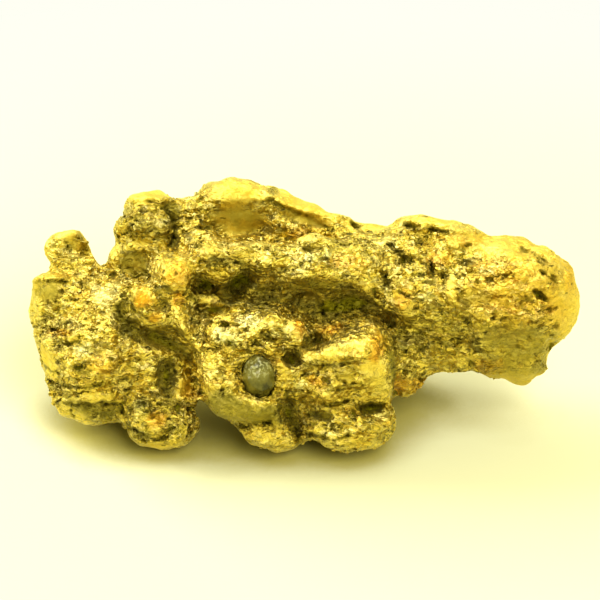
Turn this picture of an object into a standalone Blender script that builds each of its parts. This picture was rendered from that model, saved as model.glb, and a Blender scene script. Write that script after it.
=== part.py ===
"""A natural gold nugget, 27.5 mm long, with one grain of quartz caught in a pocket of it.

The nugget is laid out as it faces the viewer: x runs to the right, d runs back and h runs up, in millimetres.
It grew as lobes that run into one another, so the lobes are joined into one skin, the hollows are
scooped out of that, and the finished piece is tipped back by LEAN to lie on its three lowest lobes.
"""

import math

import bmesh
import bpy
from mathutils import Matrix, Vector

# Driving dimensions.
MM = 0.001
LENGTH = 27.5  # left end to right end
LEAN = math.radians(28)  # how far the nugget lies back from the way it is laid out
FEET_WEAR = 0.3  # how deep the three lowest lobes are worn flat
SKIN_GRID = 0.26  # spacing of the grid that joins the lobes
SKIN_TRIANGLES = 7600
GRAIN_CLEARANCE = 0.06  # gap all round the quartz in its pocket

GOLD = (0.91, 0.66, 0.10, 1)
QUARTZ = (0.20, 0.22, 0.17, 1)

# Each lobe: centre (x, d, h), half sizes (x, d, h), and its turn in the facing plane in degrees.
LOBES = {
    # The core that everything grew on.
    "core_left": ((-5.2, 1.0, 8.0), (3.4, 3.0, 3.4), 0),
    "core_upper": ((-1.6, 1.3, 8.9), (3.6, 3.0, 3.0), 0),
    "core_lower_left": ((-3.0, 1.2, 5.2), (4.2, 3.2, 3.1), 0),
    "core_lower_right": ((1.6, 1.0, 5.0), (3.4, 3.1, 3.0), 0),
    "core_right": ((2.4, 1.1, 8.3), (3.6, 2.9, 2.5), -8),
    # The blocky mass at the left end.
    "block_middle": ((-9.9, 0.2, 5.1), (3.0, 3.1, 3.3), 0),
    "block_left_edge": ((-11.9, 0.3, 5.3), (1.65, 2.3, 2.3), -4),
    "block_top_corner": ((-12.0, 0.1, 7.1), (1.6, 2.0, 1.3), 0),
    "block_ledge": ((-12.35, 0.2, 8.2), (1.15, 1.7, 0.62), 10),
    "block_shoulder": ((-9.2, 0.2, 7.3), (2.0, 2.0, 1.6), -6),
    "block_right": ((-7.6, 0.0, 4.6), (2.2, 2.4, 2.4), 0),
    "block_foot": ((-10.1, 0.2, 2.6), (2.4, 2.3, 1.3), -4),
    "block_toe": ((-9.9, 0.0, 1.95), (1.5, 1.6, 0.75), 4),
    # The little knob that stands up at the far left, on its neck.
    "small_knob": ((-11.72, 0.5, 10.22), (1.22, 1.05, 0.92), 8),
    "small_knob_neck": ((-11.3, 0.5, 9.25), (1.2, 1.0, 0.9), -30),
    "small_knob_root": ((-10.7, 0.4, 8.4), (1.3, 1.3, 1.0), -30),
    # The upper left knob and the lobe under it.
    "upper_knob": ((-7.55, 0.9, 11.65), (1.6, 1.9, 1.4), -8),
    "upper_knob_belly": ((-7.5, 0.8, 10.6), (1.75, 1.9, 1.5), 0),
    "under_knob": ((-8.6, 0.7, 9.55), (1.35, 1.7, 1.0), 60),
    "under_knob_tip": ((-8.85, 0.7, 11.1), (0.62, 1.0, 0.75), 20),
    # The worn crest along the top, running down to the right.
    "crest_shoulder": ((-5.3, 1.5, 11.7), (1.2, 1.5, 1.15), 14),
    "crest_head": ((-3.6, 1.5, 12.65), (1.45, 1.6, 1.05), 12),
    "crest_back": ((-1.9, 1.6, 12.4), (1.9, 1.6, 0.98), -8),
    "crest_middle": ((0.1, 1.5, 11.6), (1.9, 1.5, 0.9), -18),
    "crest_low": ((1.9, 1.4, 10.95), (1.7, 1.4, 0.9), -20),
    "crest_tail": ((3.4, 1.2, 10.2), (1.7, 1.5, 1.05), -22),
    # The wall behind the crest's dished face, and the shelf in front of it.
    "face_wall": ((-3.0, 1.3, 10.9), (2.9, 1.3, 1.4), -4),
    "shelf_left": ((-4.4, -1.2, 9.6), (1.3, 1.5, 0.75), -8),
    "shelf_middle": ((-2.2, -1.3, 9.55), (2.0, 1.6, 0.85), 6),
    "shelf_lip": ((-3.6, -1.6, 8.95), (0.95, 1.0, 0.6), 0),
    "shelf_right": ((0.9, -1.2, 9.5), (2.1, 1.8, 1.35), 10),
    "shelf_end": ((2.9, -1.0, 9.2), (2.2, 1.9, 1.4), -12),
    "shelf_brow": ((1.6, -1.7, 8.6), (2.6, 1.2, 0.55), 2),
    # The arm that reaches out to the right.
    "arm_root": ((5.2, 0.4, 8.0), (2.9, 2.9, 2.7), -6),
    "arm_hump": ((6.1, 0.6, 10.9), (1.5, 1.6, 0.95), -6),
    "arm_saddle": ((4.6, 0.5, 10.0), (1.6, 1.9, 1.1), 0),
    "arm_top": ((7.9, 0.5, 10.1), (1.9, 2.1, 1.25), -20),
    "arm_middle": ((7.4, 0.3, 7.6), (2.5, 2.7, 2.8), -4),
    "arm_under": ((7.2, 0.5, 5.35), (2.4, 2.2, 1.5), -6),
    "arm_under_root": ((4.9, 0.8, 4.6), (1.6, 2.4, 2.2), -30),
    # The big round knob at the right end.
    "big_knob": ((10.7, 0.4, 7.6), (3.22, 3.2, 3.05), -20),
    "big_knob_top": ((10.5, 0.5, 8.85), (2.5, 2.3, 1.95), -14),
    "big_knob_left": ((9.0, 0.1, 7.2), (2.3, 2.9, 2.6), 0),
    "big_knob_chin": ((11.0, 0.6, 4.55), (1.45, 1.7, 1.35), -24),
    "big_knob_jaw": ((9.5, 0.5, 5.1), (1.7, 2.0, 1.4), -14),
    # The cup that holds the quartz, with its smooth lip and the ledge below.
    "cup_left": ((-3.9, -1.6, 4.1), (1.7, 2.1, 2.0), 12),
    "cup_top": ((-2.8, -1.9, 5.9), (2.2, 1.9, 1.5), -14),
    "cup_right": ((-0.6, -1.7, 4.2), (1.25, 1.9, 1.9), 0),
    "cup_lip": ((-2.3, -2.0, 2.35), (2.35, 1.9, 1.05), -8),
    "cup_back": ((-2.0, -1.2, 3.9), (2.0, 1.9, 1.9), 0),
    "cup_brow": ((-1.1, -2.3, 6.55), (1.35, 1.2, 0.75), -6),
    "cup_nose": ((-0.35, -2.6, 6.05), (0.75, 0.9, 0.8), -30),
    "cup_cheek": ((-4.9, -1.4, 5.4), (0.9, 1.3, 1.6), 24),
    "strut": ((-5.75, -2.2, 6.3), (0.5, 1.3, 1.75), 24),
    "ledge": ((-1.55, -1.7, 0.95), (1.75, 1.6, 0.72), -14),
    # The fist of lobes beside the cup.
    "fist_middle": ((2.3, -1.8, 4.3), (2.3, 2.3, 1.95), 6),
    "fist_right": ((3.35, -1.7, 4.7), (1.3, 2.1, 1.9), 6),
    "fist_side": ((3.55, -1.5, 3.4), (0.98, 1.9, 1.5), 0),
    "fist_finger": ((2.3, -2.4, 5.35), (2.2, 1.6, 0.8), 20),
    "fist_knuckle": ((1.9, -2.9, 3.65), (1.5, 1.2, 0.85), 4),
    "fist_heel": ((2.65, -1.3, 1.25), (2.25, 2.1, 1.2), 8),
    "fist_heel_left": ((1.3, -1.4, 1.6), (1.15, 1.9, 1.35), 0),
    "fist_wrist": ((1.0, -0.6, 2.8), (1.4, 1.9, 1.3), 0),
    # The round nodule that is the left front foot.
    "nodule": ((-6.95, -1.0, 1.7), (1.95, 1.9, 1.65), -10),
    "nodule_neck": ((-6.6, -0.3, 3.2), (1.4, 1.6, 1.4), 0),
    # The two crumbs in the middle of the face.
    "crumb_upper": ((-6.0, -1.9, 8.6), (1.3, 1.4, 1.1), -20),
    "crumb_lower": ((-7.75, -2.1, 7.3), (1.0, 1.3, 1.1), 0),
    "crumb_bridge": ((-6.2, -2.0, 7.1), (1.0, 1.3, 1.1), 30),
    # The back, which carries the third foot.
    "back_left": ((-8.2, 2.2, 5.8), (3.6, 2.3, 2.9), 6),
    "back_upper": ((-3.2, 3.0, 8.2), (3.9, 2.4, 3.1), -4),
    "back_middle": ((1.2, 3.4, 6.1), (3.6, 2.4, 3.2), 0),
    "back_foot": ((-0.8, 4.5, 5.1), (3.0, 2.4, 2.1), 0),
    "back_foot_right": ((3.4, 3.6, 4.45), (2.2, 2.3, 2.0), 0),
    "back_right": ((5.8, 2.3, 7.4), (3.2, 2.1, 2.5), -8),
}

# Hollows are scooped out of the joined lobes, in the same terms.
HOLLOWS = {
    "arch_left": ((0.2, -3.2, 7.15), (1.5, 2.3, 0.62), 14),
    "arch_middle": ((2.5, -3.4, 7.35), (1.9, 2.7, 0.78), -4),
    "arch_right": ((4.3, -3.0, 6.65), (1.25, 2.3, 0.7), -38),
    "hole_right": ((-2.9, -2.8, 8.35), (0.95, 2.6, 0.6), 32),
    "hole_left": ((-4.5, -2.7, 8.1), (0.85, 2.5, 0.55), -12),
    "dished_face": ((-2.1, -0.9, 10.95), (2.5, 1.5, 0.95), -8),
    "dish_end": ((1.1, -0.7, 10.5), (1.6, 1.0, 0.4), -24),
    "knob_crevice": ((-6.0, -1.5, 11.7), (0.26, 1.6, 1.3), 0),
    "under_crumbs": ((-7.1, -3.1, 5.7), (1.6, 1.9, 0.65), -20),
    "beside_nodule": ((-5.3, -2.9, 3.7), (0.5, 2.1, 1.6), 14),
    "cup_hole": ((-0.45, -3.6, 4.6), (0.42, 1.8, 0.44), 0),
    "nose_pit": ((0.6, -3.5, 5.3), (0.55, 1.3, 0.38), 10),
    "ledge_notch": ((-0.65, -3.3, 2.0), (0.4, 1.5, 0.55), 12),
    "ledge_crack": ((-0.15, -2.9, 1.1), (0.17, 1.0, 0.75), 20),
    "heel_split": ((2.3, -3.6, 2.05), (1.8, 1.5, 0.18), 6),
    "heel_gap": ((3.6, -3.2, 2.22), (0.75, 1.6, 0.26), 10),
    "finger_split": ((1.9, -4.4, 4.75), (1.8, 1.1, 0.24), 16),
    "ledge_split": ((-2.2, -3.6, 1.45), (1.5, 1.2, 0.16), -14),
    "block_foot_split": ((-9.8, -2.6, 2.35), (1.9, 1.3, 0.16), 2),
    "knob_notch_right": ((14.1, -0.6, 5.0), (0.9, 1.6, 0.28), 30),
    "back_dent_left": ((-5.6, 5.7, 6.4), (1.1, 1.5, 1.4), 20),
    "back_dent_right": ((3.7, 5.3, 8.0), (1.6, 1.4, 0.7), -16),
    "back_dent_low": ((-4.0, 4.9, 3.0), (1.0, 1.4, 1.0), 0),
}

# The quartz grain: where it sits, its half sizes, and how it is turned.
GRAIN_CENTRE = (-2.0, -3.0, 3.75)
GRAIN_HALF = (0.86, 0.95, 1.12)
GRAIN_TURN = 10


def clear_scene():
    for obj in list(bpy.data.objects):
        bpy.data.objects.remove(obj)


def placed(centre, half, turn):
    """The matrix of an ellipsoid given in millimetres, turned in the facing plane."""
    return (
        Matrix.Translation(Vector(centre) * MM)
        @ Matrix.Rotation(math.radians(-turn), 4, "Y")
        @ Matrix.Diagonal((*(size * MM for size in half), 1))
    )


def ellipsoids(name, shapes):
    """One object holding an ellipsoid for each shape."""
    bm = bmesh.new()
    for centre, half, turn in shapes.values():
        bmesh.ops.create_icosphere(bm, subdivisions=4, radius=1, matrix=placed(centre, half, turn))
    return linked(name, bm)


def linked(name, bm):
    mesh = bpy.data.meshes.new(name)
    bm.to_mesh(mesh)
    bm.free()
    obj = bpy.data.objects.new(name, mesh)
    bpy.context.collection.objects.link(obj)
    return obj


def add_remesh(obj, spacing):
    remesh = obj.modifiers.new("skin", "REMESH")
    remesh.mode = "VOXEL"
    remesh.voxel_size = spacing * MM


def add_smooth(obj, rounds):
    smooth = obj.modifiers.new("soften", "SMOOTH")
    smooth.factor = 0.5
    smooth.iterations = rounds


def add_cut(obj, cutter):
    cut = obj.modifiers.new("cut", "BOOLEAN")
    cut.operation = "DIFFERENCE"
    cut.solver = "EXACT"
    cut.object = cutter
    cutter.hide_render = True
    cutter.display_type = "WIRE"


def add_lumps(obj, size, height):
    """Uneven swelling of that size and height, in millimetres."""
    texture = bpy.data.textures.new("lumps", "CLOUDS")
    texture.noise_scale = size * MM
    texture.noise_depth = 1
    lumps = obj.modifiers.new("lumps", "DISPLACE")
    lumps.texture = texture
    lumps.texture_coords = "LOCAL"
    lumps.strength = height * MM
    lumps.mid_level = 0.5


def bake_modifiers(obj):
    """Makes the object's modified shape its own mesh."""
    graph = bpy.context.evaluated_depsgraph_get()
    shape = bpy.data.meshes.new_from_object(obj.evaluated_get(graph))
    obj.modifiers.clear()
    obj.data = shape


def thin_out(obj, triangles):
    """Joins small faces until about that many triangles are left."""
    obj.data.calc_loop_triangles()
    thin = obj.modifiers.new("thin", "DECIMATE")
    thin.ratio = triangles / len(obj.data.loop_triangles)
    bake_modifiers(obj)


def keep_largest_body(obj):
    """Drops any crumb or bubble that the grid left loose from the main skin."""
    bm = bmesh.new()
    bm.from_mesh(obj.data)
    unseen = set(bm.verts)
    bodies = []
    while unseen:
        front = [unseen.pop()]
        body = list(front)
        while front:
            near = [e.other_vert(v) for v in front for e in v.link_edges]
            front = list({v for v in near if v in unseen})
            unseen.difference_update(front)
            body += front
        bodies.append(body)
    bodies.sort(key=len)
    bmesh.ops.delete(bm, geom=[v for body in bodies[:-1] for v in body], context="VERTS")
    bm.to_mesh(obj.data)
    bm.free()


def material(name, colour, roughness, metallic):
    made = bpy.data.materials.new(name)
    made.use_nodes = True
    shader = made.node_tree.nodes["Principled BSDF"]
    shader.inputs["Base Color"].default_value = colour
    shader.inputs["Roughness"].default_value = roughness
    shader.inputs["Metallic"].default_value = metallic
    return made


def make_skin():
    """The nugget's lobes as one closed skin, before it is tipped and worn."""
    nugget = ellipsoids("gold_nugget", LOBES)
    add_remesh(nugget, SKIN_GRID)
    add_smooth(nugget, 3)
    bake_modifiers(nugget)

    hollows = ellipsoids("hollows", HOLLOWS)
    add_remesh(hollows, SKIN_GRID / 2)
    bake_modifiers(hollows)
    add_cut(nugget, hollows)
    add_remesh(nugget, SKIN_GRID)
    add_smooth(nugget, 2)
    add_lumps(nugget, 1.6, 0.55)
    add_lumps(nugget, 0.7, 0.3)
    bake_modifiers(nugget)
    keep_largest_body(nugget)
    thin_out(nugget, SKIN_TRIANGLES)
    bpy.data.objects.remove(hollows)
    return nugget


def make_grain(name, growth):
    """A broken quartz grain, a rough twelve-sided lump, made growth millimetres larger all round."""
    half = [size + growth for size in GRAIN_HALF]
    bm = bmesh.new()
    bmesh.ops.create_icosphere(bm, subdivisions=2, radius=1)
    for number, vert in enumerate(bm.verts):
        vert.co *= 1 + 0.07 * math.sin(2.4 * number)
    bm.transform(placed(GRAIN_CENTRE, half, GRAIN_TURN))
    return linked(name, bm)


def lay_down(objects):
    """Tips the pieces back, stands the lowest point at the wear depth below the table, and centres them."""
    tip = Matrix.Rotation(-LEAN, 4, "X")
    for obj in objects:
        obj.data.transform(tip)
    places = [v.co for v in objects[0].data.vertices]
    low, high = (Vector([pick(p[i] for p in places) for i in range(3)]) for pick in (min, max))
    move = Vector((-(low.x + high.x) / 2, -(low.y + high.y) / 2, -low.z - FEET_WEAR * MM))
    for obj in objects:
        obj.data.transform(Matrix.Translation(move))


def make_table():
    """A block whose top is the surface that the nugget rests on. It cuts the feet flat."""
    size = LENGTH * MM
    bm = bmesh.new()
    bmesh.ops.create_cube(bm, size=1, matrix=Matrix.Diagonal((2 * size, 2 * size, size, 1)))
    bmesh.ops.translate(bm, verts=bm.verts, vec=(0, 0, -size / 2))
    return linked("table", bm)


def main():
    clear_scene()
    nugget = make_skin()
    grain = make_grain("quartz_grain", 0)
    pocket = make_grain("pocket", GRAIN_CLEARANCE)
    lay_down([nugget, grain, pocket])
    table = make_table()
    add_cut(nugget, pocket)
    add_cut(nugget, table)
    bake_modifiers(nugget)
    keep_largest_body(nugget)
    nugget.data.materials.append(material("native_gold", GOLD, 0.32, 1))
    grain.data.materials.append(material("smoky_quartz", QUARTZ, 0.15, 0))
    for cutter in (pocket, table):
        bpy.data.objects.remove(cutter)


main()
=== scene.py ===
import math

import bmesh
import bpy
import numpy as np
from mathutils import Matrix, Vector
from mathutils.bvhtree import BVHTree


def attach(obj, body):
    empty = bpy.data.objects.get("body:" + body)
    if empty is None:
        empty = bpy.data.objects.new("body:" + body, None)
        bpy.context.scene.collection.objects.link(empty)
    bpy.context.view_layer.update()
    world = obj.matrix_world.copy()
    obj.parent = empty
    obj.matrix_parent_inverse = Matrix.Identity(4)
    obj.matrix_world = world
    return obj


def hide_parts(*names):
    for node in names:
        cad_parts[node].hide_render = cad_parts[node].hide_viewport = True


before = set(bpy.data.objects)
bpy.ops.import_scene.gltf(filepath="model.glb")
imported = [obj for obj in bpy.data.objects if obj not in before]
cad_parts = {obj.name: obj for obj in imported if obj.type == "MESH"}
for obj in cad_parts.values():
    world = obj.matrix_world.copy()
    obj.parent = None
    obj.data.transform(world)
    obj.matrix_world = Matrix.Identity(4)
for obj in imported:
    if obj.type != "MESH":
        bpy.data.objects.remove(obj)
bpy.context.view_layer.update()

# ---------------------------------------------------------------------------
# The view. The nugget is seen from its plain front and well above the table, through a long lens.
# Places on the nugget are named by the pixel where they show in a 600 by 600 frame of this view.
# ---------------------------------------------------------------------------

MM = 0.001
FRAME_SIZE = 600
PIXEL = 0.05  # millimetres across one pixel at the nugget
LOOKING_DOWN = math.radians(28)
LENS = 135
SENSOR = 36
AIM = np.array((-0.1797, 0.2099, 6.1914))  # the middle of the frame, in millimetres

RIGHT = np.array((1.0, 0.0, 0.0))
AWAY = np.array((0.0, math.cos(LOOKING_DOWN), -math.sin(LOOKING_DOWN)))
UPWARD = np.array((0.0, math.sin(LOOKING_DOWN), math.cos(LOOKING_DOWN)))
FOCAL_PIXELS = FRAME_SIZE * LENS / SENSOR
EYE = AIM - AWAY * PIXEL * FOCAL_PIXELS

camera_data = bpy.data.cameras.new("camera")
camera_data.lens = LENS
camera_data.sensor_width = SENSOR
camera_data.clip_start = 0.005
camera_data.clip_end = 10
camera = bpy.data.objects.new("camera", camera_data)
camera.location = EYE * MM
camera.rotation_euler = Vector(AWAY).to_track_quat("-Z", "Y").to_euler()
bpy.context.collection.objects.link(camera)
bpy.context.scene.camera = camera

# ---------------------------------------------------------------------------
# The gold's form: one mass of native metal, grown as crystals and then tumbled in gravel.
# Its ledges, dents, pits and cracks are pressed into a fine skin laid over the CAD solid.
# ---------------------------------------------------------------------------

FORM_SPACING = 0.11  # millimetres between the skin's points while its larger forms are shaped
SKIN_SPACING = 0.105  # and while its grain is cut
SKIN_TRIANGLES = 197000


def hashed(cells, seed):
    """A number from 0 to 1 for each whole-numbered cell, the same on every run. The factors are large
    and odd, which scatters the bits, and each seed gives other numbers."""
    mixed = np.full(len(cells), seed * 7919 + 17, dtype=np.uint32)
    for axis, factor in enumerate((73856093, 19349663, 83492791)):
        mixed ^= cells[:, axis].astype(np.int64).astype(np.uint32) * np.uint32(factor)
        mixed ^= mixed >> np.uint32(15)
        mixed *= np.uint32(2246822519)
    mixed ^= mixed >> np.uint32(13)
    mixed *= np.uint32(3266489917)
    mixed ^= mixed >> np.uint32(16)
    return mixed.astype(np.float64) / (2**32 - 1)


def ripple(points, size, seed):
    """Smooth random swelling from about -1 to 1, with lumps of that size in millimetres."""
    scaled = points / size
    cell = np.floor(scaled)
    inside = scaled - cell
    fade = inside**3 * (inside * (inside * 6 - 15) + 10)
    total = np.zeros(len(points))
    for corner in np.ndindex(2, 2, 2):
        corner = np.array(corner)
        reach = inside - corner
        share = np.prod(np.where(corner, fade, 1 - fade), axis=1)
        slope = [hashed(cell + corner, seed + 11 * axis) * 2 - 1 for axis in range(3)]
        total += share * sum(slope[axis] * reach[:, axis] for axis in range(3))
    return total * 1.6


def ripples(points, size, seed, layers=3):
    """Layers of ripple, each half the size and half the height of the last."""
    return sum(ripple(points, size / 2**n, seed + n) / 2**n for n in range(layers))


def crystals(points, size, seed):
    """Packed crystals of that size: how far a point is from its crystal's edge, and that crystal's
    height and slope, which makes each one a flat face of its own."""
    scaled = points / size
    cell = np.floor(scaled)
    nearest = np.full(len(points), 9.0)
    second = np.full(len(points), 9.0)
    height = np.zeros(len(points))
    slope = np.zeros(len(points))
    for step in np.ndindex(3, 3, 3):
        at = cell + np.array(step) - 1
        reach = scaled - at - np.stack([hashed(at, seed + axis) for axis in range(3)], axis=1)
        gap = np.sqrt((reach**2).sum(axis=1))
        closer = gap < nearest
        second = np.where(closer, nearest, np.minimum(second, gap))
        nearest = np.where(closer, gap, nearest)
        height = np.where(closer, hashed(at, seed + 5) - 0.5, height)
        lean = np.stack([hashed(at, seed + 6 + axis) - 0.5 for axis in range(3)], axis=1)
        slope = np.where(closer, (reach * lean).sum(axis=1), slope)
    return second - nearest, height, slope


def fade_in(values, low, high):
    """0 below low, 1 above high, and smooth between."""
    share = np.clip((values - low) / (high - low), 0, 1)
    return share * share * (3 - 2 * share)


def evened(values, edges, rounds):
    """Each point's values averaged with its neighbours', that many times over."""
    ends = edges.T.ravel()
    others = edges[:, ::-1].T.ravel()
    values = values.reshape(len(values), -1)
    count = np.bincount(ends, minlength=len(values))[:, None]
    for _ in range(rounds):
        sums = [np.bincount(ends, weights=column[others], minlength=len(column)) for column in values.T]
        values = 0.5 * values + 0.5 * np.stack(sums, axis=1) / count
    return values.squeeze()


def bake_modifiers(obj):
    """Makes the object's modified shape its own mesh."""
    graph = bpy.context.evaluated_depsgraph_get()
    shape = bpy.data.meshes.new_from_object(obj.evaluated_get(graph))
    obj.modifiers.clear()
    obj.data = shape


def skin_again(obj, spacing):
    """Rebuilds the object's skin with its points that many millimetres apart."""
    remesh = obj.modifiers.new("skin", "REMESH")
    remesh.mode = "VOXEL"
    remesh.voxel_size = spacing * MM
    bake_modifiers(obj)


def thin_out(obj, triangles):
    """Joins the flattest faces until about that many triangles are left."""
    obj.data.calc_loop_triangles()
    thin = obj.modifiers.new("thin", "DECIMATE")
    thin.ratio = min(1, triangles / len(obj.data.loop_triangles))
    bake_modifiers(obj)


def copy_merged(node, name):
    """A copy of a CAD node with its doubled points joined."""
    bm = bmesh.new()
    bm.from_mesh(node.data)
    bmesh.ops.remove_doubles(bm, verts=bm.verts, dist=1e-6)
    mesh = bpy.data.meshes.new(name)
    bm.to_mesh(mesh)
    bm.free()
    copied = bpy.data.objects.new(name, mesh)
    bpy.context.collection.objects.link(copied)
    return copied


PATCH = 4  # pixels across the patches in which the foremost metal is looked for
BEHIND = (0.9, 1.7)  # millimetres behind it over which the metal stops being at the front
RAGGED_REACH = 1.4  # how far past its size a mark's ragged edge can reach
DAB_DEPTH = 0.6  # millimetres before and behind a dab that still feel it, or more if it is wide
STROKE_DEPTH = 1.2  # and before and behind a stroke


class Skin:
    """An object's points in millimetres, with strokes that press on them at a pixel of the view."""

    def __init__(self, obj):
        self.mesh = obj.data
        self.points = self.read("co") / MM
        self.normals = self.read("normal")
        ends = np.empty(len(self.mesh.edges) * 2, dtype=np.int32)
        self.mesh.edges.foreach_get("vertices", ends)
        self.edges = ends.reshape(-1, 2)
        self.look()

    def read(self, name):
        """The mesh's points or normals, one to a row."""
        flat = np.empty(len(self.mesh.vertices) * 3)
        self.mesh.vertices.foreach_get(name, flat)
        return flat.reshape(-1, 3)

    def look(self):
        """Notes where each point shows in the view, and how far away it is."""
        bm = bmesh.new()
        bm.from_mesh(self.mesh)
        self.tree = BVHTree.FromBMesh(bm)
        bm.free()
        reach = self.points - EYE
        self.away = reach @ AWAY
        self.across = FRAME_SIZE / 2 + FOCAL_PIXELS * (reach @ RIGHT) / self.away
        self.down = FRAME_SIZE / 2 - FOCAL_PIXELS * (reach @ UPWARD) / self.away
        last = FRAME_SIZE // PATCH - 1
        places = (self.down, self.across)
        row, column = (np.clip(place // PATCH, 1, last - 1).astype(int) for place in places)
        first = np.full((last + 1, last + 1), np.inf)
        for step in np.ndindex(3, 3):
            np.minimum.at(first, (row + step[0] - 1, column + step[1] - 1), self.away)
        self.front = 1 - fade_in(self.away - first[row, column], *BEHIND)

    def write(self):
        """Puts the moved points back in the mesh."""
        self.mesh.vertices.foreach_set("co", (self.points * MM).ravel())
        self.mesh.update()
        self.normals = self.read("normal")

    def spot(self, across, down):
        """The skin's place and facing where the line of sight through a pixel meets it."""
        middle = FRAME_SIZE / 2
        ray = AWAY + (RIGHT * (across - middle) - UPWARD * (down - middle)) / FOCAL_PIXELS
        place, normal, _, _ = self.tree.ray_cast(Vector(EYE * MM), Vector(ray).normalized())
        if place is None:
            return None
        return np.array(place) / MM, np.array(normal)

    def share(self, across, down, wide, high, turn=0, ragged=0.25, edge=0.5):
        """How strongly each point feels a dab at a pixel: 1 in the middle and 0 outside it.
        The dab is an oval of those half sizes in pixels, turned anticlockwise, with a ragged edge."""
        found = self.spot(across, down)
        share = np.zeros(len(self.points))
        if found is None:
            return share, AWAY
        place, facing = found
        reach = max(wide, high) * RAGGED_REACH
        depth = (place - EYE) @ AWAY
        near = (
            (np.abs(self.across - across) < reach)
            & (np.abs(self.down - down) < reach)
            & (np.abs(self.away - depth) < max(DAB_DEPTH, reach * PIXEL * 1.2))
        )
        cos, sin = math.cos(math.radians(turn)), math.sin(math.radians(turn))
        x, y = self.across[near] - across, down - self.down[near]
        out = np.hypot((x * cos + y * sin) / wide, (y * cos - x * sin) / high)
        wobble = ripples(self.points[near], max(0.2, min(wide, high) * PIXEL), 5, 2)
        share[near] = 1 - fade_in(out + ragged * wobble, edge, 1)
        return share, facing

    def inside(self, outline, edge):
        """How strongly each point feels an outline of pixels: 1 inside it and 0 outside, faded over
        that many pixels. Also how far down the outline the point is, from 0 to 1."""
        share = np.zeros(len(self.points))
        corners = np.array(outline, dtype=float)
        low, high = corners.min(axis=0), corners.max(axis=0)
        near = (self.across > low[0] - edge) & (self.across < high[0] + edge)
        near &= (self.down > low[1] - edge) & (self.down < high[1] + edge) & (self.front > 0)
        x, y = self.across[near], self.down[near]
        gap = np.full(len(x), np.inf)
        within = np.zeros(len(x), dtype=bool)
        for (x0, y0), (x1, y1) in zip(corners, np.roll(corners, -1, axis=0)):
            dx, dy = x1 - x0, y1 - y0
            on = np.clip(((x - x0) * dx + (y - y0) * dy) / (dx * dx + dy * dy), 0, 1)
            gap = np.minimum(gap, np.hypot(x - x0 - on * dx, y - y0 - on * dy))
            if dy:
                within ^= ((y0 > y) != (y1 > y)) & (x < x0 + (y - y0) * dx / dy)
        gap = np.where(within, gap, -gap) + 1.5 * ripples(self.points[near], 0.5, 13, 2)
        share[near] = fade_in(gap, -0.5 * edge, 0.5 * edge) * self.front[near]
        return share, np.clip((self.down - low[1]) / (high[1] - low[1]), 0, 1)

    def along(self, line, wide, ragged=0.3):
        """How strongly each point feels a stroke through pixels, and on which side of it the point is.
        The side is positive above a stroke drawn from left to right. Distances are in pixels."""
        share = np.zeros(len(self.points))
        side = np.zeros(len(self.points))
        for (x0, y0), (x1, y1) in zip(line, line[1:]):
            ends = [self.spot(x0, y0), self.spot(x1, y1)]
            ends = [end for end in ends if end is not None]
            if not ends:
                continue
            depths = [(end[0] - EYE) @ AWAY for end in ends]
            reach = wide * RAGGED_REACH
            near = (self.across > min(x0, x1) - reach) & (self.across < max(x0, x1) + reach)
            near &= (self.down > min(y0, y1) - reach) & (self.down < max(y0, y1) + reach)
            near &= (self.away > min(depths) - STROKE_DEPTH) & (self.away < max(depths) + STROKE_DEPTH)
            x, y = self.across[near] - x0, self.down[near] - y0
            dx, dy = x1 - x0, y1 - y0
            length = math.hypot(dx, dy)
            on = np.clip((x * dx + y * dy) / length**2, 0, 1)
            gap = np.hypot(x - on * dx, y - on * dy) / wide
            gap += ragged * ripples(self.points[near], 0.35, 9, 2)
            fresh = 1 - fade_in(gap, 0.15, 1)
            stronger = fresh > share[near]
            off = (x * dy - y * dx) / length / wide
            side[near] = np.where(stronger, off, side[near])
            share[near] = np.maximum(fresh, share[near])
        return share, side

    def push(self, share, direction, height):
        """Moves the skin that way by the height, as far as each point's share says."""
        self.points += np.outer(share * height, direction)

    def slide(self, across, down, wide, high, right, up):
        """Carries the skin around a pixel sideways in the view by that many pixels."""
        out = np.hypot((self.across - across) / wide, (self.down - down) / high)
        share = 1 - fade_in(out, 0.1, 1)
        self.points += np.outer(share * PIXEL, RIGHT * right + UPWARD * up)


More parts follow.
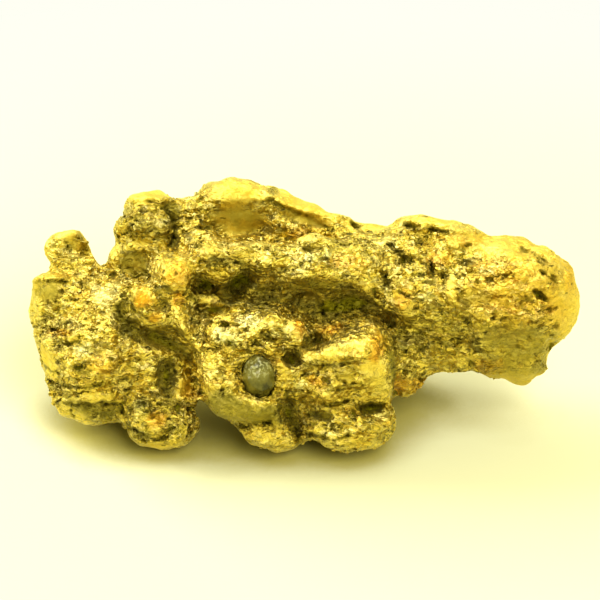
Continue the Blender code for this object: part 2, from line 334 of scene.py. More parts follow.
# Plates: parts of the skin that stand out or lie back as one face. Each is an outline of pixels with
# its height in millimetres at the top and at the foot, and the width of its edge in pixels.
# A face that stands out further at the foot looks up at the light.
PLATES = [
    # the small knob
    ([(45, 247), (50, 238), (60, 231), (75, 229), (83, 234), (70, 236), (62, 240), (66, 248), (60, 253),
      (50, 251)], 0.0, 0.15, 4),
    ([(63, 240), (72, 236), (84, 236), (88, 247), (90, 258), (78, 256), (68, 250)], -0.05, -0.28, 4),
    # the block
    ([(34, 284), (36, 277), (48, 272), (65, 274), (68, 280), (45, 280)], 0.05, 0.28, 3),
    ([(36, 284), (45, 281), (64, 281), (62, 292), (60, 303), (48, 306), (36, 300)], -0.12, -0.35, 4),
    ([(88, 288), (100, 287), (115, 292), (130, 288), (126, 300), (118, 308), (106, 312), (96, 306),
      (84, 298)], 0.0, 0.32, 5),
    ([(116, 300), (133, 296), (137, 310), (140, 325), (125, 333), (114, 325), (112, 310)], -0.1, -0.4, 6),
    ([(60, 322), (90, 312), (112, 318), (118, 340), (120, 365), (108, 372), (90, 378), (70, 372),
      (72, 350)], 0.0, 0.3, 8),
    ([(40, 346), (52, 341), (66, 345), (70, 352), (66, 368), (58, 376), (48, 370), (42, 360)], 0.2, 0.0, 5),
    ([(56, 386), (80, 391), (110, 386), (125, 384), (128, 394), (112, 399), (85, 401),
      (62, 398)], 0.0, 0.28, 4),
    ([(72, 404), (100, 402), (124, 405), (122, 414), (108, 418), (92, 420), (84, 408)], -0.25, -0.6, 4),
    ([(120, 324), (140, 327), (162, 333), (176, 328), (188, 342), (197, 354), (190, 361), (176, 354),
      (158, 346), (138, 340), (121, 335)], -0.4, -0.55, 6),
    ([(159, 362), (172, 358), (176, 372), (172, 392), (172, 402), (163, 398), (158, 380)], -0.7, -0.7, 6),
    # the upper knob and what lies around it
    ([(128, 198), (135, 190), (150, 187), (162, 192), (168, 200), (160, 202), (145, 199),
      (132, 201)], 0.0, 0.22, 4),
    ([(127, 202), (145, 200), (160, 203), (163, 212), (150, 215), (136, 213), (124, 214)], -0.08, -0.25, 4),
    ([(112, 222), (124, 217), (138, 220), (150, 219), (165, 221), (175, 225), (168, 229), (150, 228),
      (135, 231), (120, 229)], 0.08, 0.3, 4),
    ([(120, 233), (140, 232), (165, 231), (172, 240), (165, 250), (150, 250), (130, 250),
      (122, 244)], 0.0, -0.2, 5),
    ([(163, 203), (174, 200), (181, 206), (181, 216), (177, 226), (179, 240), (176, 251), (168, 252),
      (170, 240), (172, 228), (166, 215)], -0.4, -0.45, 4),
    ([(119, 250), (146, 251), (149, 262), (152, 281), (140, 280), (128, 277), (117, 268)], -0.25, -0.5, 5),
    ([(104, 252), (118, 246), (124, 252), (118, 258), (106, 260)], 0.0, 0.2, 4),
    # the crest and its dished face
    ([(205, 181), (222, 175), (245, 179), (275, 186), (310, 199), (330, 207), (345, 213), (354, 222),
      (340, 223), (318, 213), (295, 210), (280, 204), (268, 200), (245, 203), (225, 203), (208, 197),
      (200, 198)], -0.05, 0.18, 7),
    ([(212, 204), (250, 205), (272, 203), (270, 216), (262, 229), (250, 239), (235, 238), (222, 234),
      (212, 228), (206, 214)], -0.10, -0.42, 9),
    ([(272, 203), (283, 206), (300, 213), (312, 216), (322, 223), (334, 228), (346, 235), (345, 241),
      (332, 239), (318, 231), (302, 225), (286, 219), (272, 217)], -0.05, -0.38, 4),
    ([(291, 222), (304, 220), (316, 226), (320, 238), (310, 245), (296, 242), (288, 232)], 0.05, 0.3, 5),
    ([(304, 243), (318, 241), (322, 249), (312, 253), (304, 250)], -0.2, -0.3, 3),
    # the shelf, the crumbs under it and the strut
    ([(198, 243), (215, 239), (240, 240), (262, 233), (270, 238), (258, 248), (240, 254), (218, 257),
      (200, 254)], 0.05, 0.34, 5),
    ([(182, 236), (192, 232), (202, 240), (199, 250), (188, 252), (182, 244)], 0.1, 0.2, 4),
    ([(200, 262), (212, 269), (226, 272), (241, 263), (239, 272), (230, 279), (225, 291), (216, 288),
      (206, 279), (199, 270)], 0.3, 0.2, 4),
    ([(152, 258), (160, 252), (175, 252), (182, 258), (195, 262), (196, 275), (188, 288), (176, 290),
      (166, 288), (158, 280), (150, 270)], 0.1, 0.34, 4),
    ([(126, 292), (138, 285), (150, 288), (155, 298), (152, 308), (144, 316), (136, 309),
      (128, 301)], 0.2, 0.3, 4),
    ([(144, 314), (156, 308), (168, 312), (167, 324), (152, 329), (145, 322)], 0.15, 0.32, 3),
    ([(158, 300), (166, 298), (170, 306), (164, 311), (157, 308)], -0.4, -0.4, 3),
    ([(172, 292), (182, 292), (190, 312), (193, 330), (183, 335), (176, 322), (169, 304)], 0.12, 0.3, 4),
    ([(194, 297), (206, 295), (219, 297), (219, 305), (205, 307), (194, 304)], 0.35, 0.4, 3),
    ([(193, 274), (203, 275), (212, 283), (222, 290), (218, 296), (196, 295), (189, 288)], -0.5, -0.5, 4),
    ([(236, 271), (245, 265), (253, 274), (251, 285), (247, 298), (232, 304), (222, 303), (219, 293),
      (228, 282)], -0.5, -0.5, 5),
    ([(205, 308), (219, 307), (228, 305), (222, 313), (208, 315)], -0.7, -0.7, 3),
    ([(250, 290), (262, 285), (285, 281), (310, 278), (335, 279), (352, 284), (368, 294), (385, 310),
      (392, 322), (384, 330), (372, 322), (355, 318), (335, 321), (312, 322), (300, 316), (288, 310),
      (262, 310), (246, 306)], -0.2, -0.5, 6),
    ([(262, 252), (300, 250), (340, 250), (366, 262), (384, 285), (372, 292), (350, 279), (320, 275),
      (290, 279), (262, 284), (256, 266)], 0.0, 0.3, 6),
    # the cup
    ([(255, 314), (275, 311), (290, 314), (302, 322), (308, 335), (300, 346), (286, 341), (270, 338),
      (262, 330)], 0.1, 0.42, 4),
    ([(195, 318), (210, 316), (222, 322), (226, 335), (218, 345), (204, 340), (196, 330)], 0.0, 0.32, 4),
    ([(228, 330), (244, 328), (256, 336), (252, 346), (238, 348), (228, 342)], 0.08, 0.3, 3),
    ([(212, 352), (236, 350), (244, 360), (238, 367), (220, 365)], 0.05, 0.26, 3),
    ([(214, 372), (230, 368), (243, 374), (246, 384), (236, 387), (222, 382)], 0.0, 0.24, 3),
    ([(264, 340), (276, 343), (278, 352), (268, 356), (262, 349)], 0.1, 0.25, 3),
    ([(282, 350), (290, 348), (301, 353), (299, 363), (293, 369), (286, 363)], -0.25, -0.35, 3),
    ([(304, 338), (316, 332), (332, 336), (330, 343), (318, 350), (306, 350)], -0.5, -0.5, 4),
    ([(206, 388), (222, 381), (238, 390), (248, 401), (262, 403), (284, 399), (285, 411), (280, 424),
      (265, 428), (245, 424), (225, 425), (208, 420), (199, 405)], 0.12, 0.02, 4),
    ([(233, 424), (242, 420), (251, 425), (248, 430), (238, 429)], -0.4, -0.4, 3),
    ([(238, 431), (262, 429), (285, 427), (297, 437), (300, 443), (280, 447), (255, 443)], 0.0, 0.16, 4),
    ([(281, 403), (292, 397), (298, 412), (301, 430), (296, 437), (288, 425), (281, 414)], -0.6, -0.6, 4),
    ([(172, 380), (184, 376), (194, 384), (192, 402), (184, 412), (173, 402)], 0.12, 0.1, 4),
    # the fist and its heel
    ([(300, 352), (318, 344), (340, 338), (352, 331), (368, 335), (377, 345), (379, 356), (364, 359),
      (345, 358), (325, 361), (308, 363), (300, 359)], 0.05, 0.42, 4),
    ([(306, 365), (330, 363), (357, 362), (352, 368), (330, 369), (308, 371)], -0.2, -0.2, 3),
    ([(366, 347), (378, 340), (386, 360), (389, 385), (387, 402), (374, 404), (366, 390),
      (361, 372)], 0.12, 0.0, 5),
    ([(335, 367), (352, 366), (362, 372), (356, 381), (345, 384), (334, 377)], -0.05, -0.25, 3),
    ([(291, 380), (308, 374), (325, 378), (336, 388), (334, 398), (318, 399), (300, 393)], 0.05, 0.32, 4),
    ([(304, 400), (325, 398), (352, 396), (353, 404), (335, 411), (315, 412)], 0.15, 0.2, 3),
    ([(307, 411), (331, 414), (330, 420), (313, 419)], -0.55, -0.55, 3),
    ([(357, 405), (371, 401), (383, 404), (381, 411), (364, 415)], -0.65, -0.65, 3),
    ([(327, 413), (338, 405), (350, 410), (357, 419), (345, 425), (331, 421)], 0.15, 0.32, 3),
    ([(360, 417), (380, 412), (393, 409), (395, 420), (381, 431), (362, 427)], 0.12, 0.28, 4),
    ([(303, 436), (330, 439), (360, 437), (386, 430), (389, 438), (370, 447), (345, 452), (318, 451),
      (302, 447)], 0.02, 0.18, 4),
    # the nodule
    ([(133, 393), (141, 385), (152, 389), (153, 398), (140, 400)], 0.08, 0.2, 3),
    ([(127, 404), (138, 400), (151, 404), (149, 416), (138, 421), (127, 412)], 0.08, 0.2, 3),
    ([(146, 442), (165, 444), (186, 440), (192, 444), (176, 452), (152, 450)], 0.0, 0.14, 3),
    # the arm
    ([(395, 217), (410, 212), (430, 213), (450, 219), (470, 227), (482, 236), (462, 237), (440, 229),
      (420, 223), (402, 225)], 0.0, 0.24, 4),
    ([(380, 232), (398, 228), (408, 237), (402, 247), (388, 243)], 0.08, 0.26, 4),
    ([(430, 244), (444, 242), (451, 254), (445, 267), (434, 263), (429, 252)], 0.12, 0.3, 4),
    ([(384, 290), (408, 284), (416, 300), (412, 312), (396, 316), (384, 306)], 0.0, 0.3, 6),
    ([(378, 319), (420, 319), (450, 312), (475, 318), (478, 342), (450, 346), (420, 345),
      (395, 336)], 0.0, -0.32, 8),
    ([(395, 378), (410, 374), (420, 384), (408, 396), (397, 394)], 0.0, 0.15, 5),
    # the big knob
    ([(446, 268), (456, 264), (457, 290), (461, 306), (449, 307), (445, 288)], 0.16, 0.16, 4),
    ([(458, 288), (480, 286), (500, 300), (490, 307), (470, 308), (458, 302)], -0.1, -0.28, 5),
    ([(475, 240), (520, 240), (545, 255), (555, 275), (535, 285), (505, 272), (475, 270),
      (462, 255)], -0.05, 0.18, 10),
    ([(495, 312), (530, 318), (555, 325), (550, 345), (525, 345), (500, 335), (485, 320)], 0.0, -0.2, 8),
    ([(500, 346), (525, 348), (545, 358), (535, 375), (515, 381), (495, 372), (490, 356)], 0.0, 0.18, 7),
]

# Smaller swellings and dents, each at a pixel with half sizes in pixels, a turn in degrees and a
# height in millimetres. Negative heights are dents.
FORMS = [
    (74, 233, 11, 4, 10, 0.10), (86, 262, 12, 9, 0, 0.10), (80, 366, 8, 5, 0, -0.30),
    (78, 340, 11, 3, 8, -0.24), (42, 396, 12, 18, 20, -0.30), (60, 330, 14, 3, 8, -0.18),
    (66, 410, 9, 8, 0, 0.10), (84, 412, 8, 8, 0, 0.16), (112, 275, 5, 4, 0, -0.12),
    (182, 277, 11, 10, -20, 0.12), (161, 278, 8, 6, 0, -0.10), (355, 226, 4, 3, -30, -0.22),
    (188, 250, 8, 6, 0, -0.25), (224, 323, 7, 3, -10, -0.30), (267, 423, 8, 3, 5, -0.25),
    (328, 433, 9, 5, 0, 0.12), (412, 227, 9, 5, -6, -0.30), (442, 231, 13, 3, -4, -0.28),
    (403, 262, 8, 6, -10, -0.35), (430, 270, 5, 9, 0, -0.30), (386, 277, 6, 6, 0, -0.28),
    (443, 276, 6, 5, -30, -0.28), (390, 325, 8, 6, 0, -0.25), (424, 349, 16, 5, 0, -0.16),
    (405, 372, 6, 6, 0, -0.20), (396, 396, 5, 10, 0, -0.30), (500, 276, 18, 5, -8, -0.18),
    (541, 296, 7, 5, -40, -0.22), (548, 310, 9, 4, 5, -0.22), (524, 252, 12, 4, -10, -0.16),
    (552, 345, 8, 8, 40, -0.30),
]

# Terraces: lines along which the metal stands out above and is undercut below. Each has its pixels
# from left to right, its reach in pixels and its height in millimetres.
TERRACES = [
    ([(34, 284), (46, 281), (67, 282)], 4, 0.26), ([(35, 322), (52, 326), (74, 321), (92, 327)], 5, 0.28),
    ([(38, 345), (58, 341), (84, 345), (102, 350)], 5, 0.28),
    ([(54, 388), (66, 390), (80, 390), (104, 386)], 5, 0.26),
    ([(54, 403), (80, 406), (112, 403), (124, 405)], 5, 0.34),
    ([(88, 301), (104, 313), (118, 309)], 4, 0.12), ([(128, 249), (151, 250), (166, 253)], 5, 0.22),
    ([(151, 252), (168, 254), (190, 262)], 4, 0.10), ([(150, 292), (168, 290), (190, 292)], 4, 0.16),
    ([(199, 259), (218, 258), (244, 255), (262, 250)], 5, 0.18),
    ([(246, 292), (268, 288), (290, 281), (318, 278), (348, 281), (366, 290), (386, 312)], 6, 0.26),
    ([(262, 202), (270, 201), (282, 206), (298, 212), (316, 216), (334, 227)], 4, 0.2),
    ([(213, 345), (232, 350), (252, 343), (268, 346)], 4, 0.18),
    ([(205, 390), (224, 384), (240, 394), (250, 402), (268, 403), (285, 399)], 4, 0.16),
    ([(232, 424), (250, 428), (272, 425), (292, 431)], 4, 0.18),
    ([(303, 403), (322, 409), (350, 406), (378, 404)], 4, 0.20),
    ([(310, 437), (332, 440), (356, 433)], 5, 0.12),
    ([(404, 232), (424, 231), (452, 234), (466, 236)], 5, 0.18),
    ([(448, 303), (468, 309), (492, 314), (516, 316)], 5, 0.14),
    ([(486, 279), (500, 280), (518, 275), (530, 276)], 5, 0.16),
    ([(394, 318), (420, 316), (446, 322), (470, 325)], 5, 0.16),
    ([(420, 335), (444, 340), (468, 344), (492, 350)], 5, 0.12),
    ([(132, 426), (150, 432), (172, 427)], 4, 0.14),
]

# Small slides of the outline: pixel, half sizes, and how many pixels right and up.
SLIDES = [
    (30, 362, 30, 46, 10, 0), (272, 184, 26, 18, 0, -2), (578, 342, 20, 30, 1, 0), (90, 428, 40, 22, 0, 3),
    (92, 236, 12, 20, -3, 0), (345, 455, 40, 14, 0, 2), (208, 190, 18, 14, -2, 5), (252, 186, 14, 10, 0, 2),
    (574, 270, 16, 24, 4, 1), (64, 416, 18, 14, -4, -3), (548, 362, 10, 14, -3, 0),
]

# The side that the view hides is worn into hollows too, of no drawn shape.
HIDDEN_SIDE = (0.0, 0.35)  # how far the metal has to face away
CLEAR_OF_TABLE = (0.1, 1.5)  # millimetres above the table over which the hollows begin
HOLLOW_WIDTH = 2.4  # millimetres, as are the rest
HOLLOW_DEPTH = 0.45
FACET_WIDTH = 1.8
FACET_SLOPE = 0.25
ALL_OVER = 0.12

gold = copy_merged(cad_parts["gold_nugget"], "gold")
skin_again(gold, FORM_SPACING)
skin = Skin(gold)
hidden = fade_in(skin.normals @ AWAY, *HIDDEN_SIDE) * fade_in(skin.points[:, 2], *CLEAR_OF_TABLE)
hollowed = ALL_OVER + HOLLOW_DEPTH * fade_in(ripples(skin.points, HOLLOW_WIDTH, 171), 0.0, 0.5)
hollowed += FACET_SLOPE * crystals(skin.points, FACET_WIDTH, 181)[2]
skin.points -= skin.normals * (hidden * hollowed)[:, None]
for outline, top, foot, edge in PLATES:
    share, down = skin.inside(outline, edge)
    facing = (skin.normals * share[:, None]).sum(axis=0)
    outward = 0.5 * facing / np.linalg.norm(facing) - 0.5 * AWAY
    skin.push(share * (top + (foot - top) * down), outward, 1)
for across, down, wide, high, turn, height in FORMS:
    share, facing = skin.share(across, down, wide, high, turn)
    skin.push(share, facing * 0.6 - AWAY * 0.4, height)
for line, wide, height in TERRACES:
    share, side = skin.along(line, wide)
    step = share * np.tanh(2.5 * side + 0.4)
    skin.points += (skin.normals * 0.6 - AWAY * 0.4) * (step * height)[:, None]
skin.points = evened(skin.points, skin.edges, 1)
for slide in SLIDES:
    skin.slide(*slide)
skin.points[:, 2] = np.maximum(skin.points[:, 2], 0)
skin.write()

# ---------------------------------------------------------------------------
# The gold's grain. What stands proud is hammered smooth by gravel, and what lies deep keeps its sugary
# crystals, its sponge of pits and a little olive-brown earth, which also serves as painted shade in the
# hollows.
# ---------------------------------------------------------------------------

# Where the gravel has polished it: pixel, half sizes, turn, and how much.
POLISHED = [
    (68, 234, 22, 11, 0, 0.9), (78, 245, 9, 8, 0, 0.8), (50, 276, 17, 5, 4, 0.8),
    (49, 293, 16, 13, 0, 0.85), (50, 360, 16, 18, 0, 0.7), (95, 398, 30, 8, 0, 0.6),
    (36, 300, 10, 30, 0, 0.6), (62, 412, 14, 14, 0, 0.5), (146, 194, 30, 13, -4, 0.95),
    (137, 244, 15, 6, 0, 0.7), (116, 250, 11, 7, 10, 0.8), (144, 299, 11, 11, 0, 0.75),
    (103, 297, 15, 9, 10, 0.6), (184, 388, 10, 13, 0, 0.9), (158, 346, 20, 8, -25, 0.75),
    (238, 192, 42, 22, -4, 0.85), (300, 204, 56, 17, -16, 0.9), (238, 222, 32, 20, -4, 0.95),
    (305, 218, 34, 8, -20, 0.9), (362, 224, 36, 12, -8, 0.8), (206, 301, 13, 5, 3, 0.9),
    (186, 325, 5, 20, 24, 0.35), (290, 324, 17, 15, -10, 0.5), (245, 406, 46, 22, -8, 0.5),
    (265, 437, 34, 6, -12, 0.6), (342, 350, 44, 10, 12, 0.65), (374, 375, 18, 36, 0, 0.7),
    (345, 378, 16, 10, 0, 0.6), (345, 443, 46, 9, 6, 0.45), (330, 400, 26, 8, 0, 0.4),
    (430, 219, 50, 14, -6, 0.8), (305, 237, 14, 9, 0, 0.6), (505, 245, 84, 24, -6, 0.72),
    (570, 300, 28, 62, 0, 0.78), (548, 268, 32, 36, -30, 0.65), (478, 300, 22, 10, -6, 0.6),
    (452, 290, 7, 26, 0, 0.6), (524, 348, 48, 36, 0, 0.5), (520, 379, 44, 16, 0, 0.85),
    (133, 264, 16, 14, 0, 0.6), (460, 362, 30, 9, 4, 0.5), (160, 446, 28, 6, 0, 0.8),
    (158, 425, 14, 12, 0, 0.45), (500, 296, 40, 24, 0, 0.35), (250, 254, 30, 6, 6, 0.4),
]

# Where it is still rough from the ground.
ROUGH = [
    (84, 352, 34, 30, 0, 0.9), (100, 300, 34, 18, 10, 0.6), (80, 266, 22, 10, 0, 0.8),
    (128, 380, 26, 24, 0, 0.9), (150, 222, 26, 12, 0, 0.8), (190, 236, 20, 14, 0, 0.8),
    (135, 266, 16, 16, 0, 0.8), (270, 262, 80, 18, 2, 0.95), (355, 262, 40, 30, 0, 0.9),
    (405, 270, 42, 34, 0, 0.95), (235, 345, 44, 26, 0, 0.6), (325, 335, 34, 9, 8, 0.8),
    (318, 386, 24, 12, 0, 0.6), (350, 420, 44, 11, 4, 0.85), (150, 410, 22, 16, 0, 0.9),
    (440, 335, 56, 24, 0, 0.8), (408, 375, 22, 24, 0, 0.9), (510, 280, 34, 14, -6, 0.7),
    (300, 300, 90, 22, 0, 0.8), (262, 432, 30, 7, -8, 0.5),
]

# Warm orange stain and pale clean crystals, in the same terms. Brown earth, partly painted shade, comes
# further on.
WARM = [
    (144, 299, 13, 13, 0, 1.0), (176, 272, 16, 16, 0, 0.7), (155, 318, 10, 6, 0, 0.8),
    (178, 300, 8, 12, 0, 0.6), (300, 326, 8, 16, 0, 0.7), (376, 350, 10, 26, 0, 0.8),
    (318, 382, 12, 8, 0, 0.7), (235, 193, 30, 8, 0, 0.3), (300, 232, 20, 10, 0, 0.4),
    (345, 262, 24, 12, 0, 0.5), (400, 384, 14, 12, 0, 0.7), (330, 330, 22, 7, 8, 0.6),
    (100, 365, 16, 16, 0, 0.4), (402, 300, 12, 14, 0, 0.6), (440, 258, 14, 10, 0, 0.5),
    (520, 290, 70, 60, 0, 0.35), (460, 240, 30, 8, -6, 0.4), (158, 420, 14, 12, 0, 0.7),
    (420, 385, 20, 10, 0, 0.5), (490, 365, 20, 12, 0, 0.4), (570, 280, 8, 26, -10, 0.4),
    (60, 333, 16, 5, 0, 0.5), (190, 392, 10, 12, 0, 0.4),
]
PALE = [
    (106, 292, 20, 14, 10, 0.55), (84, 350, 12, 9, 0, 0.7), (309, 258, 7, 7, 0, 1.0),
    (328, 256, 6, 5, 0, 1.0), (254, 286, 5, 4, 0, 1.0), (226, 338, 18, 10, -20, 0.85),
    (250, 320, 18, 8, 0, 0.75), (284, 332, 14, 9, 0, 0.55), (300, 385, 8, 8, 0, 0.5),
    (428, 297, 12, 6, 0, 0.5), (383, 415, 12, 6, 10, 0.5), (329, 434, 10, 4, 0, 0.5),
    (165, 222, 8, 5, 0, 0.6), (140, 405, 9, 9, 0, 0.6), (486, 272, 12, 5, 10, 0.5),
    (403, 345, 10, 8, 0, 0.4),
]

# Ground whose crystals mostly face up at the light, or down where the lean is negative: its outline
# in pixels, the width of its edge, how far they lean and how much earth and painted shade dull them.
FACINGS = [
    ([(36, 283), (46, 281), (66, 282), (62, 296), (58, 306), (46, 308), (34, 300)], 5, -0.9, 0.4),
    ([(190, 312), (215, 312), (250, 318), (268, 340), (262, 350), (225, 352), (200, 348),
      (190, 335)], 8, 1.0, 0), ([(196, 356), (240, 350), (242, 384), (215, 384), (198, 384)], 8, 0.6, 0),
    ([(262, 240), (290, 246), (345, 244), (372, 262), (384, 290), (362, 284), (340, 274), (300, 274),
      (262, 280), (250, 262)], 8, 0.55, 0),
    ([(376, 228), (420, 240), (446, 250), (442, 285), (440, 305), (400, 314), (384, 300),
      (376, 262)], 10, 0.55, 0),
    ([(46, 318), (90, 310), (125, 335), (140, 345), (128, 380), (90, 384), (60, 380), (48, 350)], 10, 0.4, 0),
    ([(203, 400), (224, 390), (238, 399), (250, 407), (284, 404), (281, 424), (245, 424),
      (212, 420)], 6, -1.0, 1.0),
    ([(243, 393), (252, 399), (268, 400), (284, 393), (285, 398), (268, 404), (250, 403),
      (242, 398)], 2, 1.0, 0),
    ([(122, 206), (164, 204), (172, 216), (176, 250), (120, 246)], 10, -0.25, 0.35),
    ([(212, 204), (250, 205), (270, 204), (266, 226), (250, 238), (222, 234), (208, 214)], 16, -0.6, 0.85),
    ([(126, 402), (150, 392), (180, 404), (190, 430), (160, 448), (130, 436)], 8, -0.2, 0.3),
    ([(305, 416), (350, 424), (390, 418), (390, 432), (340, 436), (306, 432)], 6, 0.4, 0),
    ([(370, 345), (380, 342), (388, 365), (388, 400), (376, 402), (370, 375)], 5, 0.25, 0),
    ([(70, 404), (100, 403), (124, 405), (120, 416), (100, 420), (84, 416)], 5, -1.0, 1.0),
    ([(480, 320), (540, 322), (560, 340), (548, 372), (515, 384), (492, 374), (478, 340)], 12, -0.5, 0.6),
    ([(380, 330), (420, 322), (470, 330), (480, 345), (440, 352), (400, 350)], 12, -0.35, 0.4),
]

# The deepest hollows, where earth has stayed and shade is painted, as soft marks. Elsewhere both lie thin.
THIN_EARTH_AND_SHADE = 0.75
DEEP_SHADE_AND_EARTH_MARKS = [
    (205, 284, 14, 10, 10, 1.0), (238, 282, 16, 12, 30, 1.0), (214, 309, 12, 4, 0, 1.0),
    (288, 412, 7, 13, 12, 0.9), (370, 408, 13, 5, 8, 1.0), (166, 377, 6, 14, 0, 0.9),
    (340, 306, 44, 15, 8, 0.9), (175, 235, 5, 15, 0, 0.8), (160, 340, 34, 9, -25, 0.85),
    (291, 358, 8, 8, 0, 0.95), (392, 366, 4, 26, 0, 0.8),
]

# Pits, in the same terms, with their depth in millimetres.
PITS = [
    (80, 367, 6, 4, 20, 0.35), (70, 343, 7, 3, 10, 0.3), (61, 335, 6, 2, 0, 0.25), (44, 320, 8, 2, 10, 0.2),
    (112, 275, 3, 3, 0, 0.25), (72, 300, 6, 2, 10, 0.15), (122, 296, 4, 2, 20, 0.3),
    (145, 236, 3, 2, 0, 0.25), (122, 215, 4, 2, -30, 0.3), (136, 220, 5, 2, -15, 0.25),
    (209, 228, 3, 2.5, 0, 0.3), (199, 246, 4, 3, 0, 0.35), (200, 198, 3, 2, 0, 0.25),
    (220, 181, 3, 2, 0, 0.2), (273, 200, 3, 3, 0, 0.3), (278, 205, 5, 2, -30, 0.25),
    (355, 226, 4, 2.5, -35, 0.4), (266, 249, 4, 2, 0, 0.3), (327, 259, 3, 2, 0, 0.3),
    (387, 277, 5, 5, 0, 0.4), (374, 291, 2.5, 2.5, 0, 0.3), (388, 245, 4, 3, 0, 0.3),
    (399, 251, 6, 3, 0, 0.3), (404, 262, 6, 5, -20, 0.4), (409, 257, 5, 2, -30, 0.3),
    (419, 243, 4, 3, 0, 0.25), (431, 269, 3, 6, 0, 0.35), (443, 275, 5, 3, -30, 0.3),
    (468, 246, 4, 2, 10, 0.3), (389, 285, 4, 3, -40, 0.3), (419, 275, 6, 2, 0, 0.2),
    (412, 226, 7, 4, -10, 0.3), (433, 229, 5, 3, -20, 0.3), (443, 231, 8, 2, 0, 0.3),
    (526, 251, 7, 2.5, 0, 0.3), (541, 262, 8, 2, -45, 0.28), (544, 273, 3, 2.5, 0, 0.3),
    (554, 277, 7, 1.8, -48, 0.28), (540, 295, 6, 3.5, -40, 0.4), (548, 310, 6, 3, 10, 0.35),
    (556, 308, 4, 2, 10, 0.25), (538, 314, 3, 2, 20, 0.25), (557, 325, 2, 4, 0, 0.25),
    (529, 340, 2, 5, 0, 0.25), (538, 361, 3, 2, 0, 0.25), (551, 346, 4, 3, 40, 0.35),
    (500, 277, 12, 2, 6, 0.28), (490, 281, 6, 2, 10, 0.22), (450, 323, 4, 2, 0, 0.25),
    (468, 322, 3, 2.5, 0, 0.3), (493, 319, 3, 2.5, 0, 0.3), (503, 319, 3, 2, 0, 0.25),
    (486, 332, 3, 2, 0, 0.25), (454, 339, 4, 2, 0, 0.25), (390, 325, 5, 4, 0, 0.4),
    (422, 349, 4, 3, 0, 0.3), (405, 372, 3, 3, 0, 0.4), (471, 363, 3, 2.5, 0, 0.3),
    (422, 380, 4, 2, 0, 0.3), (395, 393, 3, 4, 0, 0.35), (520, 342, 6, 1.6, -20, 0.2),
    (224, 324, 7, 3, -10, 0.4), (228, 343, 6, 2.5, -20, 0.35), (257, 343, 4, 3, 0, 0.3),
    (284, 323, 4, 3, 0, 0.3), (244, 330, 4, 3, 10, 0.3), (202, 392, 3, 4, 0, 0.35),
    (210, 349, 4, 2, -20, 0.25), (243, 426, 6, 3, -10, 0.4), (267, 422, 6, 2, 10, 0.3),
    (227, 422, 2, 2, 0, 0.15), (311, 344, 9, 5, 10, 0.2), (321, 341, 7, 3, 0, 0.35),
    (308, 338, 6, 3, 0, 0.35), (353, 383, 3, 2.5, 0, 0.35), (327, 381, 6, 3, -10, 0.3),
    (318, 414, 10, 3, 4, 0.15), (352, 413, 4, 4, 40, 0.4), (370, 408, 11, 3.5, 8, 0.15),
    (287, 395, 3, 6, 0, 0.2), (288, 412, 6, 9, 12, 0.15), (297, 432, 3, 7, 20, 0.2),
    (313, 424, 4, 3, 0, 0.3), (291, 358, 8, 7.5, 0, 0.15), (142, 405, 5, 3, 30, 0.4),
    (131, 410, 3, 3, 0, 0.35), (169, 430, 6, 2.5, 20, 0.35), (165, 437, 4, 2, 10, 0.3),
    (160, 440, 4, 2, 0, 0.3), (129, 429, 4, 2, -10, 0.25), (139, 436, 4, 2, 10, 0.3),
    (147, 440, 6, 1.6, 0, 0.3), (177, 407, 3, 7, 20, 0.35), (152, 418, 3, 2, 0, 0.2),
    (205, 284, 9, 7, 10, 0.1), (238, 280, 11, 9, 30, 0.1), (217, 309, 7, 3, 0, 0.1),
    (166, 377, 5, 12, 0, 0.1), (364, 240, 4, 2, 0, 0.25), (340, 244, 5, 2, -10, 0.22),
    (345, 275, 4, 2, 0, 0.25), (285, 270, 5, 2, 0, 0.25), (262, 268, 3, 2, 0, 0.25),
    (350, 288, 5, 2, 0, 0.2),
]
